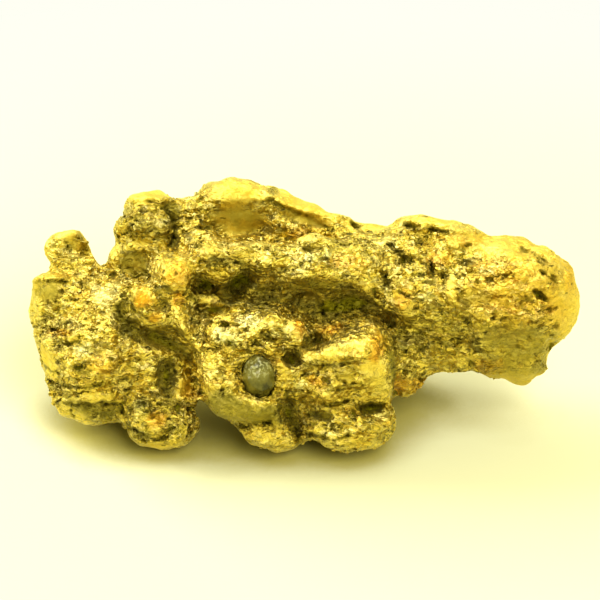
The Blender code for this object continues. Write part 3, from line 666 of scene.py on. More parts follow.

# Cracks and creases, pressed in and darkened with painted shade: lines of pixels with their width in pixels
# and depth in millimetres.
CRACKS = [
    # the small knob and the block
    ([(62, 239), (68, 243), (66, 250)], 2.5, 0.10), ([(36, 282), (50, 280), (66, 282)], 3, 0.12),
    ([(33, 311), (44, 316), (54, 318)], 3, 0.14), ([(36, 326), (46, 322), (58, 324)], 2.5, 0.12),
    ([(40, 342), (50, 338), (62, 341), (72, 345)], 3, 0.14), ([(44, 366), (54, 372), (64, 369)], 2.5, 0.10),
    ([(48, 379), (60, 385), (76, 388), (96, 386), (114, 382)], 3, 0.16), ([(58, 395), (70, 396)], 2, 0.08),
    ([(56, 403), (76, 405), (96, 402), (120, 403)], 3, 0.18),
    ([(73, 404), (71, 412), (76, 419)], 2.5, 0.10), ([(122, 412), (125, 399), (131, 388)], 4, 0.20),
    ([(100, 288), (112, 294), (124, 294), (129, 289)], 2.5, 0.12),
    ([(84, 300), (94, 308), (104, 314)], 2.5, 0.10), ([(129, 300), (137, 313), (148, 318)], 3, 0.15),
    ([(118, 308), (124, 320), (138, 327), (158, 333), (174, 344), (190, 357)], 5, 0.15),
    # the upper knob, the crest and its creases
    ([(150, 201), (162, 203), (170, 215), (174, 228), (171, 240), (168, 252)], 5, 0.22),
    ([(126, 218), (136, 216), (146, 218)], 2.5, 0.10),
    ([(268, 200), (284, 208), (300, 214), (317, 222), (328, 231), (345, 243)], 5, 0.16),
    ([(182, 208), (190, 204), (200, 202)], 3, 0.10), ([(184, 233), (196, 229), (210, 229)], 3, 0.14),
    ([(352, 222), (360, 229)], 4, 0.20),
    # the shelf and the crumbs
    ([(170, 255), (177, 264), (176, 275)], 2.5, 0.12), ([(150, 291), (160, 296), (170, 293)], 3, 0.15),
    ([(215, 262), (230, 266), (244, 262), (252, 268)], 3, 0.12),
    ([(300, 246), (312, 251), (323, 249)], 3, 0.12),
    ([(188, 291), (196, 300), (198, 312), (190, 322)], 3, 0.14),
    ([(356, 246), (366, 252), (374, 262)], 2.5, 0.12),
    # the cup and its lip
    ([(204, 311), (214, 310), (226, 308)], 4, 0.3), ([(208, 320), (216, 325)], 3, 0.14),
    ([(222, 331), (229, 323), (238, 325)], 3, 0.14), ([(242, 345), (250, 340), (256, 345)], 3, 0.14),
    ([(212, 348), (221, 345)], 3, 0.12), ([(307, 322), (310, 334), (303, 346), (296, 353)], 3.5, 0.18),
    ([(262, 333), (268, 339), (274, 341)], 3, 0.12),
    ([(233, 424), (243, 428), (252, 424), (262, 422), (273, 425)], 3, 0.18),
    ([(286, 392), (289, 406), (290, 420), (296, 432), (298, 443)], 4.5, 0.22),
    # the fist and its heel
    ([(299, 364), (318, 366), (340, 364), (358, 361)], 3, 0.18),
    ([(302, 376), (318, 372), (334, 367)], 2.5, 0.14),
    ([(334, 368), (338, 380), (350, 385), (361, 382)], 2.5, 0.12),
    ([(318, 386), (330, 391), (344, 390)], 2.5, 0.10),
    ([(299, 400), (318, 407), (336, 405), (352, 399), (362, 405)], 3.5, 0.20),
    ([(360, 410), (371, 406), (384, 404)], 4, 0.2),
    ([(393, 338), (396, 356), (396, 376), (393, 398)], 4, 0.18),
    ([(306, 433), (320, 437), (336, 440), (350, 435)], 3, 0.14),
    ([(312, 344), (322, 340), (334, 343)], 3.5, 0.15),
    # the nodule
    ([(127, 424), (140, 433), (154, 440), (168, 436)], 3, 0.14),
    ([(140, 398), (149, 402), (152, 411)], 2.5, 0.12),
    # the arm and the big knob
    ([(394, 248), (404, 258), (413, 262)], 4, 0.20), ([(430, 260), (434, 272), (445, 277)], 3.5, 0.18),
    ([(404, 225), (412, 228), (419, 233)], 4, 0.20), ([(428, 226), (436, 232), (448, 233)], 3.5, 0.18),
    ([(443, 268), (444, 280), (447, 291)], 3.5, 0.14), ([(380, 270), (388, 279), (384, 289)], 3.5, 0.16),
    ([(398, 290), (408, 296), (420, 292)], 2.5, 0.12), ([(440, 312), (456, 316), (472, 322)], 2.5, 0.10),
    ([(400, 330), (414, 333), (430, 330)], 2.5, 0.10), ([(432, 342), (446, 346), (458, 344)], 2.5, 0.10),
    ([(521, 247), (531, 251), (541, 258), (549, 265)], 2.5, 0.14),
    ([(541, 270), (550, 277), (558, 283)], 2.5, 0.14), ([(535, 291), (542, 297), (548, 301)], 4, 0.20),
    ([(540, 311), (551, 307), (560, 306)], 2.5, 0.14), ([(494, 279), (505, 276), (514, 272)], 2.5, 0.14),
    ([(470, 283), (484, 281), (495, 279)], 2.5, 0.10), ([(500, 335), (513, 341), (520, 349)], 2.5, 0.10),
    ([(548, 349), (556, 341)], 3, 0.14), ([(462, 262), (474, 258), (486, 262)], 2, 0.08),
    ([(505, 296), (516, 300), (526, 297)], 2, 0.08),
]

# The crystals in three ranks: width in millimetres, seed, and the heights in millimetres of their
# rounded edges, of the steps between them and of their slopes.
CRYSTAL_RANKS = [(1.15, 30, 0.04, 0.05, 0.07), (0.55, 60, 0.04, 0.05, 0.095), (0.27, 90, 0.0, 0.04, 0.08)]
SEAM_DEPTH = 0.15  # millimetres, as are the rest
HOLE_DEPTH = 0.10
WORN_SWELLING = 0.05
CLOSED_GAP = 0.3  # how far from the quartz its rim is still drawn in
QUARTZ_PLACE = (260, 377)  # the pixel of its middle
RIM_REACH = 40  # pixels round it

skin_again(gold, SKIN_SPACING)
skin = Skin(gold)
local = np.stack([(skin.points - AIM) @ axis for axis in (RIGHT, AWAY, UPWARD)], axis=1)


def painted(marks):
    """The strongest of a list of soft marks at each point."""
    strongest = np.zeros(len(skin.points))
    for *mark, amount in marks:
        share, _ = skin.share(*mark, ragged=0.35, edge=0.35)
        strongest = np.maximum(strongest, share * amount)
    return strongest


# Wear lies on the highs, on the placed marks and, on the hidden side, in patches of its own.
proud = ((skin.points - evened(skin.points, skin.edges, 120)) * skin.normals).sum(axis=1)
worn = 0.55 * fade_in(proud + 0.10 * ripples(local, 2.5, 3), 0.02, 0.28)
hidden = fade_in(skin.normals @ AWAY, *HIDDEN_SIDE)
rubbed = fade_in(ripples(local, 3.0, 161) + 1.2 * proud, -0.05, 0.3)
worn = np.maximum(worn, 0.85 * hidden * rubbed) * (1 - painted(ROUGH))
worn = np.maximum(worn, painted(POLISHED))
warm = painted(WARM)
pale = painted(PALE)
raw = 1 - worn

# A plate that leans out at its foot has crystals facing up, and one that lies back holds earth and painted
# shade.
rise = np.zeros(len(skin.points))
earth_and_shade = np.zeros(len(skin.points))
mottled = 0.5 + 0.5 * fade_in(ripples(local, 0.6, 151), -0.35, 0.25)
plate_facings = [
    (outline, edge, np.clip(2.2 * (foot - top), -1, 1), -1.1 * (top + foot))
    for outline, top, foot, edge in PLATES
]
for outline, edge, lean, hollow in plate_facings + FACINGS:
    share, _ = skin.inside(outline, edge)
    rise += share * (lean - rise)
    if hollow > 0.2:
        share, _ = skin.inside(outline, edge * 2.5)
        earth_and_shade = np.maximum(earth_and_shade, share * hollow * mottled)
# Hollows take earth and painted shade, and the hidden side takes earth in patches.
earth_and_shade = np.maximum(earth_and_shade, fade_in(-proud, 0.3, 0.7) * (0.4 + 0.6 * mottled))
earth_and_shade = np.maximum(earth_and_shade, hidden * fade_in(ripples(skin.points, 2.4, 171), 0.2, 0.5) * mottled)
earth_and_shade = np.maximum(np.minimum(earth_and_shade, THIN_EARTH_AND_SHADE), painted(DEEP_SHADE_AND_EARTH_MARKS))

# The grain runs mostly level, as the ledges do.
streaky = local * (0.7, 1.0, 1.25)
bent = streaky + 0.22 * np.stack([ripple(streaky, 0.8, 40 + axis) for axis in range(3)], axis=1)
patchy = fade_in(ripples(local, 1.3, 71, 2), -0.18, 0.12)
spongy = fade_in(ripples(local, 2.2, 51, 2), -0.1, 0.5)
holes = fade_in(ripples(bent, 0.40, 21, 2), 0.50, 0.72) * spongy
seam = np.abs(ripples(local * (0.6, 1.0, 1.5), 1.5, 101, 3))
seams = (1 - fade_in(seam, 0.0, 0.10)) * fade_in(ripples(local, 1.1, 81, 2), -0.05, 0.2)

swell = -SEAM_DEPTH * seams - HOLE_DEPTH * holes
for (width, seed, rim, step, tilt), where in zip(CRYSTAL_RANKS, (1, patchy, 0.3 + 0.7 * patchy)):
    edge, height, slope = crystals(bent, width, seed)
    swell += where * (rim * fade_in(edge, 0, 0.4) + step * height + tilt * slope)
swell *= raw
swell += worn * (WORN_SWELLING * ripples(local, 1.5, 31) + 0.4 * WORN_SWELLING * ripples(local, 0.5, 35))
swell *= fade_in(skin.points[:, 2], 0, 0.4)
skin.points += skin.normals * swell[:, None]

# Holes and seams take earth and painted shade.
earth_and_shade = np.maximum(earth_and_shade, np.maximum(THIN_EARTH_AND_SHADE * holes, 0.7 * seams) * raw)
# Each pit is pressed in and takes earth and painted shade.
for across, down, wide, high, turn, depth in PITS:
    share, facing = skin.share(across, down, wide * 1.25, high * 0.95, turn, ragged=0.8, edge=0.3)
    skin.push(share, AWAY * 0.6 - facing * 0.4, depth)
    earth_and_shade = np.maximum(earth_and_shade, share * min(1, 0.4 + depth * 1.5))
# Each crack is pressed in, and its mask carries painted shade.
crack_shade = np.zeros(len(skin.points))
broken = 0.35 + 0.65 * fade_in(ripples(local, 0.7, 141, 2), -0.25, 0.15)
for line, wide, depth in CRACKS:
    share, _ = skin.along(line, wide * 0.85, ragged=0.7)
    share *= skin.front * broken
    skin.push(share, AWAY, 0.8 * depth)
    crack_shade = np.maximum(crack_shade, share)

# The metal has closed round the quartz, so the pocket's rim is drawn in to it.
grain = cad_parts["quartz_grain"].data
grain_points = [vertex.co / MM for vertex in grain.vertices]
around = BVHTree.FromPolygons(grain_points, [face.vertices for face in grain.polygons])
from_quartz = np.hypot(skin.across - QUARTZ_PLACE[0], skin.down - QUARTZ_PLACE[1])
for index in np.nonzero(from_quartz < RIM_REACH)[0]:
    place, _, _, gap = around.find_nearest(Vector(skin.points[index]), CLOSED_GAP)
    if place is not None:
        skin.points[index] += (np.array(place) - skin.points[index]) * 0.7 * (1 - gap / CLOSED_GAP)
skin.points[:, 2] = np.maximum(skin.points[:, 2], 0)
skin.write()

# Points sunk below their neighbours take earth and painted shade too.
sunk = ((evened(skin.points, skin.edges, 5) - skin.points) * skin.normals).sum(axis=1)
earth_and_shade = np.maximum(earth_and_shade, THIN_EARTH_AND_SHADE * raw * fade_in(sunk, 0.03, 0.12))
bare = np.clip(raw * (0.25 + 0.75 * patchy) * 1.3 - 0.3, 0, 1) ** 1.5
bare *= fade_in(skin.points[:, 2], 0.3, 0.8)
layers = {"worn": worn, "earth_and_shade": earth_and_shade, "warm": warm, "pale": pale, "rise": rise, "crack_shade": crack_shade}
for name, values in [*layers.items(), ("bare", bare)]:
    layer = gold.data.attributes.new(name, "FLOAT", "POINT")
    layer.data.foreach_set("value", np.clip(values, -1, 1).astype(np.float32))
thin_out(gold, SKIN_TRIANGLES)
gold.data.shade_smooth()


def linear(hex_colour):
    """An sRGB hex colour as linear red, green, blue and full alpha."""
    parts = [int(hex_colour[n : n + 2], 16) / 255 for n in (1, 3, 5)]
    return (*(p / 12.92 if p <= 0.04045 else ((p + 0.055) / 1.055) ** 2.4 for p in parts), 1)


def add_node(tree, kind, settings=None, inputs=None):
    """Adds a node, sets its properties, and feeds each input a value, a socket or another node, which
    gives its first output that is in use."""
    node = tree.nodes.new(kind)
    for key, value in (settings or {}).items():
        setattr(node, key, value)
    for key, value in (inputs or {}).items():
        if isinstance(value, bpy.types.Node):
            value = next(socket for socket in value.outputs if socket.enabled)
        if isinstance(value, bpy.types.NodeSocket):
            tree.links.new(value, node.inputs[key])
        else:
            node.inputs[key].default_value = value
    return node


# Native gold as found: rich yellow, satin where gravel has burnished it, and sugary where its crystals
# still stand, each with a face of its own and painted shade in the gap beside it. Earth and iron stain
# lie in the hollows, the earth partly as painted shade, and painted shade lines the ledges, pricks and
# cracks. Scales are in patterns to a millimetre.
GOLD_COLOURS = ("#EACC58", "#FAE070")
CLEAN_FACE = "#F8E690"
CRYSTAL_GAP_SHADE = "#6A5E0E"
STAIN = "#EAAC2E"
PALE_CRYSTAL = "#FBF2B0"
UNDER_LEDGE_SHADE = "#64580E"
EARTH_AND_SHADE = "#80741A"
DEEP_EARTH_AND_SHADE = "#B6B01E"  # lighter, because little light reaches it
SHADE_IN_PRICK = "#5A4E0C"
SHADE_IN_CRACK = "#625810"
DRIFT = 0.6  # of its colour
SHAKE = 2.2
LEDGE_RUN = 0.55
LEDGES = 16.0  # how often the overlapping scales of metal step down in one run
PRICKS = 2.2
DUST = 9.0
# Flat scales, coarse crystals and fine ones: their scale, how far they lean, the width of the gap
# beside them and how dark the painted shade in it is.
CRYSTAL_FACES = [(1.5, 0.4, 0.05, 0.9), (3.2, 0.7, 0.17, 0.95), (7.0, 1.25, 0.14, 0.65)]
LEDGE_DROP = 0.16  # millimetres
DUST_DEPTH = 0.042  # millimetres
ROUGHNESS = (0.46, 0.28)  # worn satin, and a crystal's own face

TIMES = {"operation": "MULTIPLY"}
MINUS = {"operation": "SUBTRACT"}
SMOOTH = {"interpolation_type": "SMOOTHSTEP"}
BLEND = {"data_type": "RGBA"}

native_gold = bpy.data.materials.new("native_gold")
native_gold.use_nodes = True
tree = native_gold.node_tree
tree.nodes.clear()
place = add_node(tree, "ShaderNodeTexCoord").outputs["Object"]
in_mm = add_node(tree, "ShaderNodeVectorMath", {"operation": "SCALE"}, {0: place, "Scale": 1 / MM})
marks = {
    name: add_node(tree, "ShaderNodeAttribute", {"attribute_name": name}).outputs["Fac"]
    for name in layers
}
unworn = add_node(tree, "ShaderNodeMath", MINUS, {0: 1.0, 1: marks["worn"]})
drift = add_node(tree, "ShaderNodeTexNoise", None, {"Vector": in_mm, "Scale": DRIFT, "Detail": 5})
coloured = add_node(tree, "ShaderNodeValToRGB", None, {"Fac": drift})
for stop, position, colour in zip(coloured.color_ramp.elements, (0.36, 0.64), GOLD_COLOURS):
    stop.position = position
    stop.color = linear(colour)

# The crystals' outlines wander, so their places are shaken before they are packed.
shake = add_node(tree, "ShaderNodeTexNoise", None, {"Vector": in_mm, "Scale": SHAKE, "Detail": 3})
shaken = add_node(
    tree, "ShaderNodeVectorMath", {"operation": "MULTIPLY_ADD"},
    {0: shake.outputs["Color"], 1: (0.5, 0.5, 0.5), 2: in_mm},
)
flattened = add_node(tree, "ShaderNodeVectorMath", TIMES, {0: shaken, 1: (0.75, 1.0, 1.3)})
coats = []
own_leans = []
for scale, leaning, gap_width, gap_shade_strength in CRYSTAL_FACES:
    packed = {"Vector": flattened, "Scale": scale}
    cells = add_node(tree, "ShaderNodeTexVoronoi", None, packed)
    rims = add_node(tree, "ShaderNodeTexVoronoi", {"feature": "DISTANCE_TO_EDGE"}, packed)
    chance = add_node(tree, "ShaderNodeSeparateColor", None, {0: cells.outputs["Color"]})
    own = add_node(tree, "ShaderNodeVectorMath", MINUS, {0: cells.outputs["Color"], 1: (0.5, 0.5, 0.5)})
    own = add_node(tree, "ShaderNodeVectorMath", {"operation": "SCALE"}, {0: own, "Scale": leaning})
    own_leans.append(own)
    # The gap colour is painted shade: it lies on the side the crystal's lean raises, in some cells only, and
    # not on worn metal.
    offset = add_node(tree, "ShaderNodeVectorMath", MINUS, {0: flattened, 1: cells.outputs["Position"]})
    raised_side = add_node(tree, "ShaderNodeVectorMath", {"operation": "DOT_PRODUCT"}, {0: offset, 1: own})
    raised_side = add_node(
        tree, "ShaderNodeMapRange", SMOOTH,
        {"Value": raised_side, "From Min": -0.02 / scale, "From Max": 0.1 / scale},
    )
    near_rim = add_node(
        tree, "ShaderNodeMapRange", SMOOTH,
        {"Value": rims.outputs["Distance"], "From Min": gap_width, "From Max": 0.35 * gap_width},
    )
    near_rim = add_node(tree, "ShaderNodeMath", TIMES, {0: near_rim, 1: raised_side})
    deep_shade = add_node(
        tree, "ShaderNodeMapRange", SMOOTH,
        {"Value": chance.outputs["Red"], "From Min": 0.25, "From Max": 0.5},
    )
    gap = add_node(tree, "ShaderNodeMath", TIMES, {0: near_rim, 1: deep_shade})
    gap = add_node(tree, "ShaderNodeMath", TIMES, {0: gap, 1: unworn})
    clean = add_node(
        tree, "ShaderNodeMapRange", SMOOTH,
        {"Value": chance.outputs["Green"], "From Min": 0.7, "From Max": 0.9, "To Max": 0.7},
    )
    clean = add_node(tree, "ShaderNodeMath", TIMES, {0: clean, 1: unworn})
    coats += [(clean, CLEAN_FACE), (add_node(tree, "ShaderNodeMath", TIMES, {0: gap, 1: gap_shade_strength}), CRYSTAL_GAP_SHADE)]
coats += [(add_node(tree, "ShaderNodeMath", TIMES, {0: marks["warm"], 1: 0.9}), STAIN)]
coats += [(marks["pale"], PALE_CRYSTAL)]

# Scales that overlap: the metal rises slowly and drops at once, with a line of painted shade under the drop.
drawn = add_node(tree, "ShaderNodeVectorMath", TIMES, {0: shaken, 1: (0.5, 0.8, 1.5)})
level = add_node(
    tree, "ShaderNodeTexNoise", None,
    {"Vector": drawn, "Scale": LEDGE_RUN, "Detail": 4, "Roughness": 0.55},
)
tooth = add_node(tree, "ShaderNodeMath", TIMES, {0: level, 1: LEDGES})
tooth = add_node(tree, "ShaderNodeMath", {"operation": "FRACT"}, {0: tooth})
where = add_node(tree, "ShaderNodeMapRange", SMOOTH, {"Value": drift, "From Min": 0.42, "From Max": 0.58})
ledge_shade = add_node(tree, "ShaderNodeMapRange", SMOOTH, {"Value": tooth, "From Min": 0.16, "From Max": 0.02})
drawn_dark = add_node(tree, "ShaderNodeMapRange", SMOOTH, {"Value": unworn, "To Min": 0.25})
for amount in (drawn_dark, where, 0.9):
    ledge_shade = add_node(tree, "ShaderNodeMath", TIMES, {0: ledge_shade, 1: amount})
# Where earth and painted shade are thickest they take a lighter, dull deep coat.
thick_earth_and_shade = add_node(
    tree, "ShaderNodeMapRange", SMOOTH, {"Value": marks["earth_and_shade"], "From Min": THIN_EARTH_AND_SHADE, "To Max": 0.85}
)
coats += [(ledge_shade, UNDER_LEDGE_SHADE), (marks["earth_and_shade"], EARTH_AND_SHADE), (thick_earth_and_shade, DEEP_EARTH_AND_SHADE)]

# Short pricks where a grain of sand was pressed in, each darkened with painted shade.
sparse = add_node(tree, "ShaderNodeTexVoronoi", None, {"Vector": drawn, "Scale": PRICKS})
chosen = add_node(tree, "ShaderNodeSeparateColor", None, {0: sparse.outputs["Color"]})
chosen = add_node(
    tree, "ShaderNodeMapRange", SMOOTH, {"Value": chosen.outputs["Red"], "From Min": 0.55, "From Max": 0.65}
)
prick = add_node(
    tree, "ShaderNodeMapRange", SMOOTH,
    {"Value": sparse.outputs["Distance"], "From Min": 0.24, "From Max": 0.12},
)
prick = add_node(tree, "ShaderNodeMath", TIMES, {0: prick, 1: chosen})
# Pricks and cracks are darkened with painted shade.
for amount, colour in ((prick, SHADE_IN_PRICK), (marks["crack_shade"], SHADE_IN_CRACK)):
    coats += [(add_node(tree, "ShaderNodeMath", TIMES, {0: amount, 1: 0.85}), colour)]
for amount, colour in coats:
    coloured = add_node(tree, "ShaderNodeMix", BLEND, {"Factor": amount, "A": coloured, "B": linear(colour)})

# Ledges and dust in relief, and then each crystal's lean, which the wear has mostly flattened.
relief = add_node(tree, "ShaderNodeMath", MINUS, {0: tooth, 1: prick})
crisp = add_node(tree, "ShaderNodeMapRange", SMOOTH, {"Value": unworn, "To Min": 0.3})
# Earth and painted shade also soften the ledges' relief.
dulled_by_earth_and_shade = add_node(tree, "ShaderNodeMath", TIMES, {0: marks["earth_and_shade"], 1: 0.3})
crisp = add_node(tree, "ShaderNodeMath", MINUS, {0: crisp, 1: dulled_by_earth_and_shade})
ledges = add_node(
    tree, "ShaderNodeBump", None, {"Height": relief, "Strength": crisp, "Distance": LEDGE_DROP * MM}
)
dust = add_node(
    tree, "ShaderNodeTexNoise", None, {"Vector": in_mm, "Scale": DUST, "Detail": 5, "Roughness": 0.65}
)
dusty = add_node(tree, "ShaderNodeMapRange", SMOOTH, {"Value": unworn, "To Min": 0.9})
bump = add_node(
    tree, "ShaderNodeBump", None,
    {"Height": dust, "Strength": dusty, "Distance": DUST_DEPTH * MM, "Normal": ledges},
)
lean = own_leans[0]
for finer in own_leans[1:]:
    lean = add_node(tree, "ShaderNodeVectorMath", None, {0: lean, 1: finer})
free = add_node(tree, "ShaderNodeMapRange", SMOOTH, {"Value": unworn, "To Min": 0.2})
lean = add_node(tree, "ShaderNodeVectorMath", {"operation": "SCALE"}, {0: lean, "Scale": free})
lean = add_node(
    tree, "ShaderNodeVectorMath", {"operation": "MULTIPLY_ADD"},
    {0: marks["rise"], 1: (0.0, 0.2, 0.55), 2: lean},
)
lean = add_node(tree, "ShaderNodeVectorMath", None, {0: bump, 1: lean})
facing = add_node(tree, "ShaderNodeVectorMath", {"operation": "NORMALIZE"}, {0: lean})
metallic = add_node(
    tree, "ShaderNodeMapRange", SMOOTH, {"Value": marks["earth_and_shade"], "To Min": 1.0, "To Max": 0.05}
)
rough = add_node(
    tree, "ShaderNodeMapRange", SMOOTH, {"Value": unworn, "To Min": ROUGHNESS[0], "To Max": ROUGHNESS[1]}
)
surface = add_node(
    tree, "ShaderNodeBsdfPrincipled", None,
    {
        "Base Color": coloured, "Metallic": metallic, "Roughness": rough, "Specular IOR Level": 0.2,
        "Normal": facing,
    },
)
add_node(tree, "ShaderNodeOutputMaterial", None, {"Surface": surface})
gold.data.materials.clear()
gold.data.materials.append(native_gold)
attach(gold, "root")
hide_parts("gold_nugget")

# ---------------------------------------------------------------------------
# The loose-looking crystals: thousands of tiny gold prisms that stand on the rough ground between
# the worn highs, each grown half into the metal.
# ---------------------------------------------------------------------------

CRYSTAL_COUNT = 6500
CRYSTAL_SIZES = (0.04, 0.11)  # millimetres from the middle to a corner
CRYSTAL_SIDES = 5
CRYSTAL_SEED = 11


def scatter_tree(name):
    """A tree that stands crystals on a surface, most where the attribute "bare" is high."""
    tree = bpy.data.node_groups.new(name, "GeometryNodeTree")
    wanted = [
        ("Surface", "NodeSocketGeometry"), ("Density", "NodeSocketFloat"), ("Smallest", "NodeSocketFloat"),
        ("Largest", "NodeSocketFloat"), ("Sides", "NodeSocketInt"), ("Seed", "NodeSocketInt"),
        ("Metal", "NodeSocketMaterial"),
    ]
    for label, kind in wanted:
        tree.interface.new_socket(label, in_out="INPUT", socket_type=kind)
    tree.interface.new_socket("Crystals", in_out="OUTPUT", socket_type="NodeSocketGeometry")
    given = add_node(tree, "NodeGroupInput").outputs
    bare = add_node(tree, "GeometryNodeInputNamedAttribute", {"data_type": "FLOAT"}, {"Name": "bare"})
    density = add_node(
        tree, "ShaderNodeMath", {"operation": "MULTIPLY"}, {0: bare.outputs["Attribute"], 1: given["Density"]}
    )
    points = add_node(
        tree, "GeometryNodeDistributePointsOnFaces", {"distribute_method": "RANDOM"},
        {"Mesh": given["Surface"], "Density": density, "Seed": given["Seed"]},
    ).outputs
    crystal = add_node(
        tree, "GeometryNodeMeshCylinder", None, {"Vertices": given["Sides"], "Radius": 1.0, "Depth": 1.0}
    )
    tilt = add_node(
        tree, "FunctionNodeRandomValue", {"data_type": "FLOAT_VECTOR"},
        {"Min": (-0.6, -0.6, 0), "Max": (0.6, 0.6, math.tau), "Seed": given["Seed"]},
    )
    turn = add_node(
        tree, "FunctionNodeRotateRotation", {"rotation_space": "LOCAL"},
        {"Rotation": points["Rotation"], "Rotate By": tilt},
    )
    chance = add_node(tree, "FunctionNodeRandomValue", {"data_type": "FLOAT"}, {"Seed": given["Seed"]})
    mostly_small = add_node(tree, "ShaderNodeMath", {"operation": "POWER"}, {0: chance, 1: 2.0})
    size = add_node(
        tree, "ShaderNodeMapRange", None,
        {"Value": mostly_small, "To Min": given["Smallest"], "To Max": given["Largest"]},
    )
    stretch = add_node(
        tree, "FunctionNodeRandomValue", {"data_type": "FLOAT_VECTOR"},
        {"Min": (0.7, 0.7, 0.4), "Max": (1.5, 1.5, 1.0), "Seed": given["Seed"]},
    )
    scale = add_node(tree, "ShaderNodeVectorMath", {"operation": "SCALE"}, {0: stretch, "Scale": size})
    stood = add_node(
        tree, "GeometryNodeInstanceOnPoints", None,
        {"Points": points["Points"], "Instance": crystal.outputs["Mesh"], "Rotation": turn, "Scale": scale},
    )
    real = add_node(tree, "GeometryNodeRealizeInstances", None, {"Geometry": stood})
    metallic = add_node(tree, "GeometryNodeSetMaterial", None, {"Geometry": real, "Material": given["Metal"]})
    add_node(tree, "NodeGroupOutput", None, {"Crystals": metallic})
    return tree


def grow(surface, tree, name, settings):
    """Runs a tree on a copy of a surface with those inputs, and keeps the result as a mesh of its own."""
    grown = bpy.data.objects.new(name, surface.data.copy())
    bpy.context.collection.objects.link(grown)
    made = grown.modifiers.new("grow", "NODES")
    made.node_group = tree
    sockets = {item.name: item.identifier for item in tree.interface.items_tree if item.in_out == "INPUT"}
    for label, value in settings.items():
        made[sockets[label]] = value
    bake_modifiers(grown)
    return grown


bare_values = np.empty(len(gold.data.vertices), dtype=np.float32)
gold.data.attributes["bare"].data.foreach_get("value", bare_values)
areas = np.empty(len(gold.data.polygons), dtype=np.float32)
gold.data.polygons.foreach_get("area", areas)
bare_area = areas.sum() * bare_values.mean()
gold_crystals = grow(
    gold, scatter_tree("crystals_on_gold"), "gold_crystals",
    {
        "Density": CRYSTAL_COUNT / bare_area, "Smallest": CRYSTAL_SIZES[0] * MM,
        "Largest": CRYSTAL_SIZES[1] * MM, "Sides": CRYSTAL_SIDES, "Seed": CRYSTAL_SEED, "Metal": native_gold,
    },
)
gold_crystals.data.shade_flat()
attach(gold_crystals, "root")

# ---------------------------------------------------------------------------
# The quartz: one broken grain, grey-green and glassy, that the gold grew round. It is held by the
# closed rim of its pocket.
# ---------------------------------------------------------------------------

QUARTZ_SPACING = 0.05  # millimetres
BREAK_WIDTH = 1.3  # millimetres across a broken face

quartz = copy_merged(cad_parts["quartz_grain"], "quartz")
skin_again(quartz, QUARTZ_SPACING)
grain = Skin(quartz)
broken = grain.points - AIM
_, height, slope = crystals(broken, BREAK_WIDTH, 300)
cut = 0.02 + 0.16 * height + 0.35 * slope + 0.05 * ripples(broken, 0.4, 310)
grain.points -= grain.normals * cut[:, None].clip(0.0)
grain.write()
quartz.data.shade_smooth()

# Smoky quartz: glassy broken faces, cloudy inside, with pale specks painted at its upper end as glints.
CLOUD_COLOURS = ("#3A360E", "#7E7632")
GLINT_COLOUR = "#BEBC8C"
CLOUDS = 1.4  # to a millimetre
GLINT_SCALE = 5.5
CHIP_DEPTH = 0.05  # millimetres
GLINTING_END = (0.9, 0.5)  # millimetres below the top over which the painted glints begin

smoky_quartz = bpy.data.materials.new("smoky_quartz")
smoky_quartz.use_nodes = True
tree = smoky_quartz.node_tree
tree.nodes.clear()
place = add_node(tree, "ShaderNodeTexCoord").outputs["Object"]
clouds = add_node(tree, "ShaderNodeTexNoise", None, {"Vector": place, "Scale": CLOUDS / MM, "Detail": 4})
tint = add_node(tree, "ShaderNodeValToRGB", None, {"Fac": clouds})
for stop, position, colour in zip(tint.color_ramp.elements, (0.4, 0.62), CLOUD_COLOURS):
    stop.position = position
    stop.color = linear(colour)
# Painted highlight: pale glint specks on the grain's upper end.
glint_specks = add_node(tree, "ShaderNodeTexNoise", None, {"Vector": place, "Scale": GLINT_SCALE / MM, "Detail": 2})
glint_specks = add_node(
    tree, "ShaderNodeMapRange", SMOOTH,
    {"Value": glint_specks, "From Min": 0.5, "From Max": 0.62, "To Min": 0.1, "To Max": 0.75},
)
split = add_node(tree, "ShaderNodeSeparateXYZ", None, {0: place})
top = max(grain.points[:, 2])
upper = add_node(
    tree, "ShaderNodeMapRange", SMOOTH,
    {
        "Value": split.outputs["Z"], "From Min": (top - GLINTING_END[0]) * MM,
        "From Max": (top - GLINTING_END[1]) * MM,
    },
)
painted_glints = add_node(tree, "ShaderNodeMath", TIMES, {0: upper, 1: glint_specks})
coloured = add_node(tree, "ShaderNodeMix", BLEND, {"Factor": painted_glints, "A": tint, "B": linear(GLINT_COLOUR)})
relief = add_node(
    tree, "ShaderNodeBump", None, {"Height": clouds, "Strength": 0.5, "Distance": CHIP_DEPTH * MM}
)
surface = add_node(
    tree, "ShaderNodeBsdfPrincipled", None,
    {
        "Base Color": coloured, "Normal": relief, "Roughness": 0.06, "IOR": 1.544,
        "Specular Tint": (1, 1, 0.85, 1), "Transmission Weight": 0.15,
    },
)
add_node(tree, "ShaderNodeOutputMaterial", None, {"Surface": surface})
quartz.data.materials.clear()
quartz.data.materials.append(smoky_quartz)
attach(quartz, "root")
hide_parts("quartz_grain")

# ---------------------------------------------------------------------------
# The table, the lamps and the air around. The table is pale card, shaded by the nugget in its lamps' light,
# with a painted shadow where the nugget is close above it, and fading into the air far off.
# ---------------------------------------------------------------------------

TABLE_REACH = 0.6  # metres
CARD = "#A6A588"
SHADED_CARD = "#766F35"
SHADED_WITHIN = 3.5  # millimetres
FAR_CARD = "#FFFFF3"
FADES_OUT = (12, 60)  # millimetres from the nugget
CARD_ON_GOLD = "#9A9A69"  # as the gold mirrors it
AIR_ON_GOLD = "#FFFBB1"
FAR_AIR = "#FFFFF1"

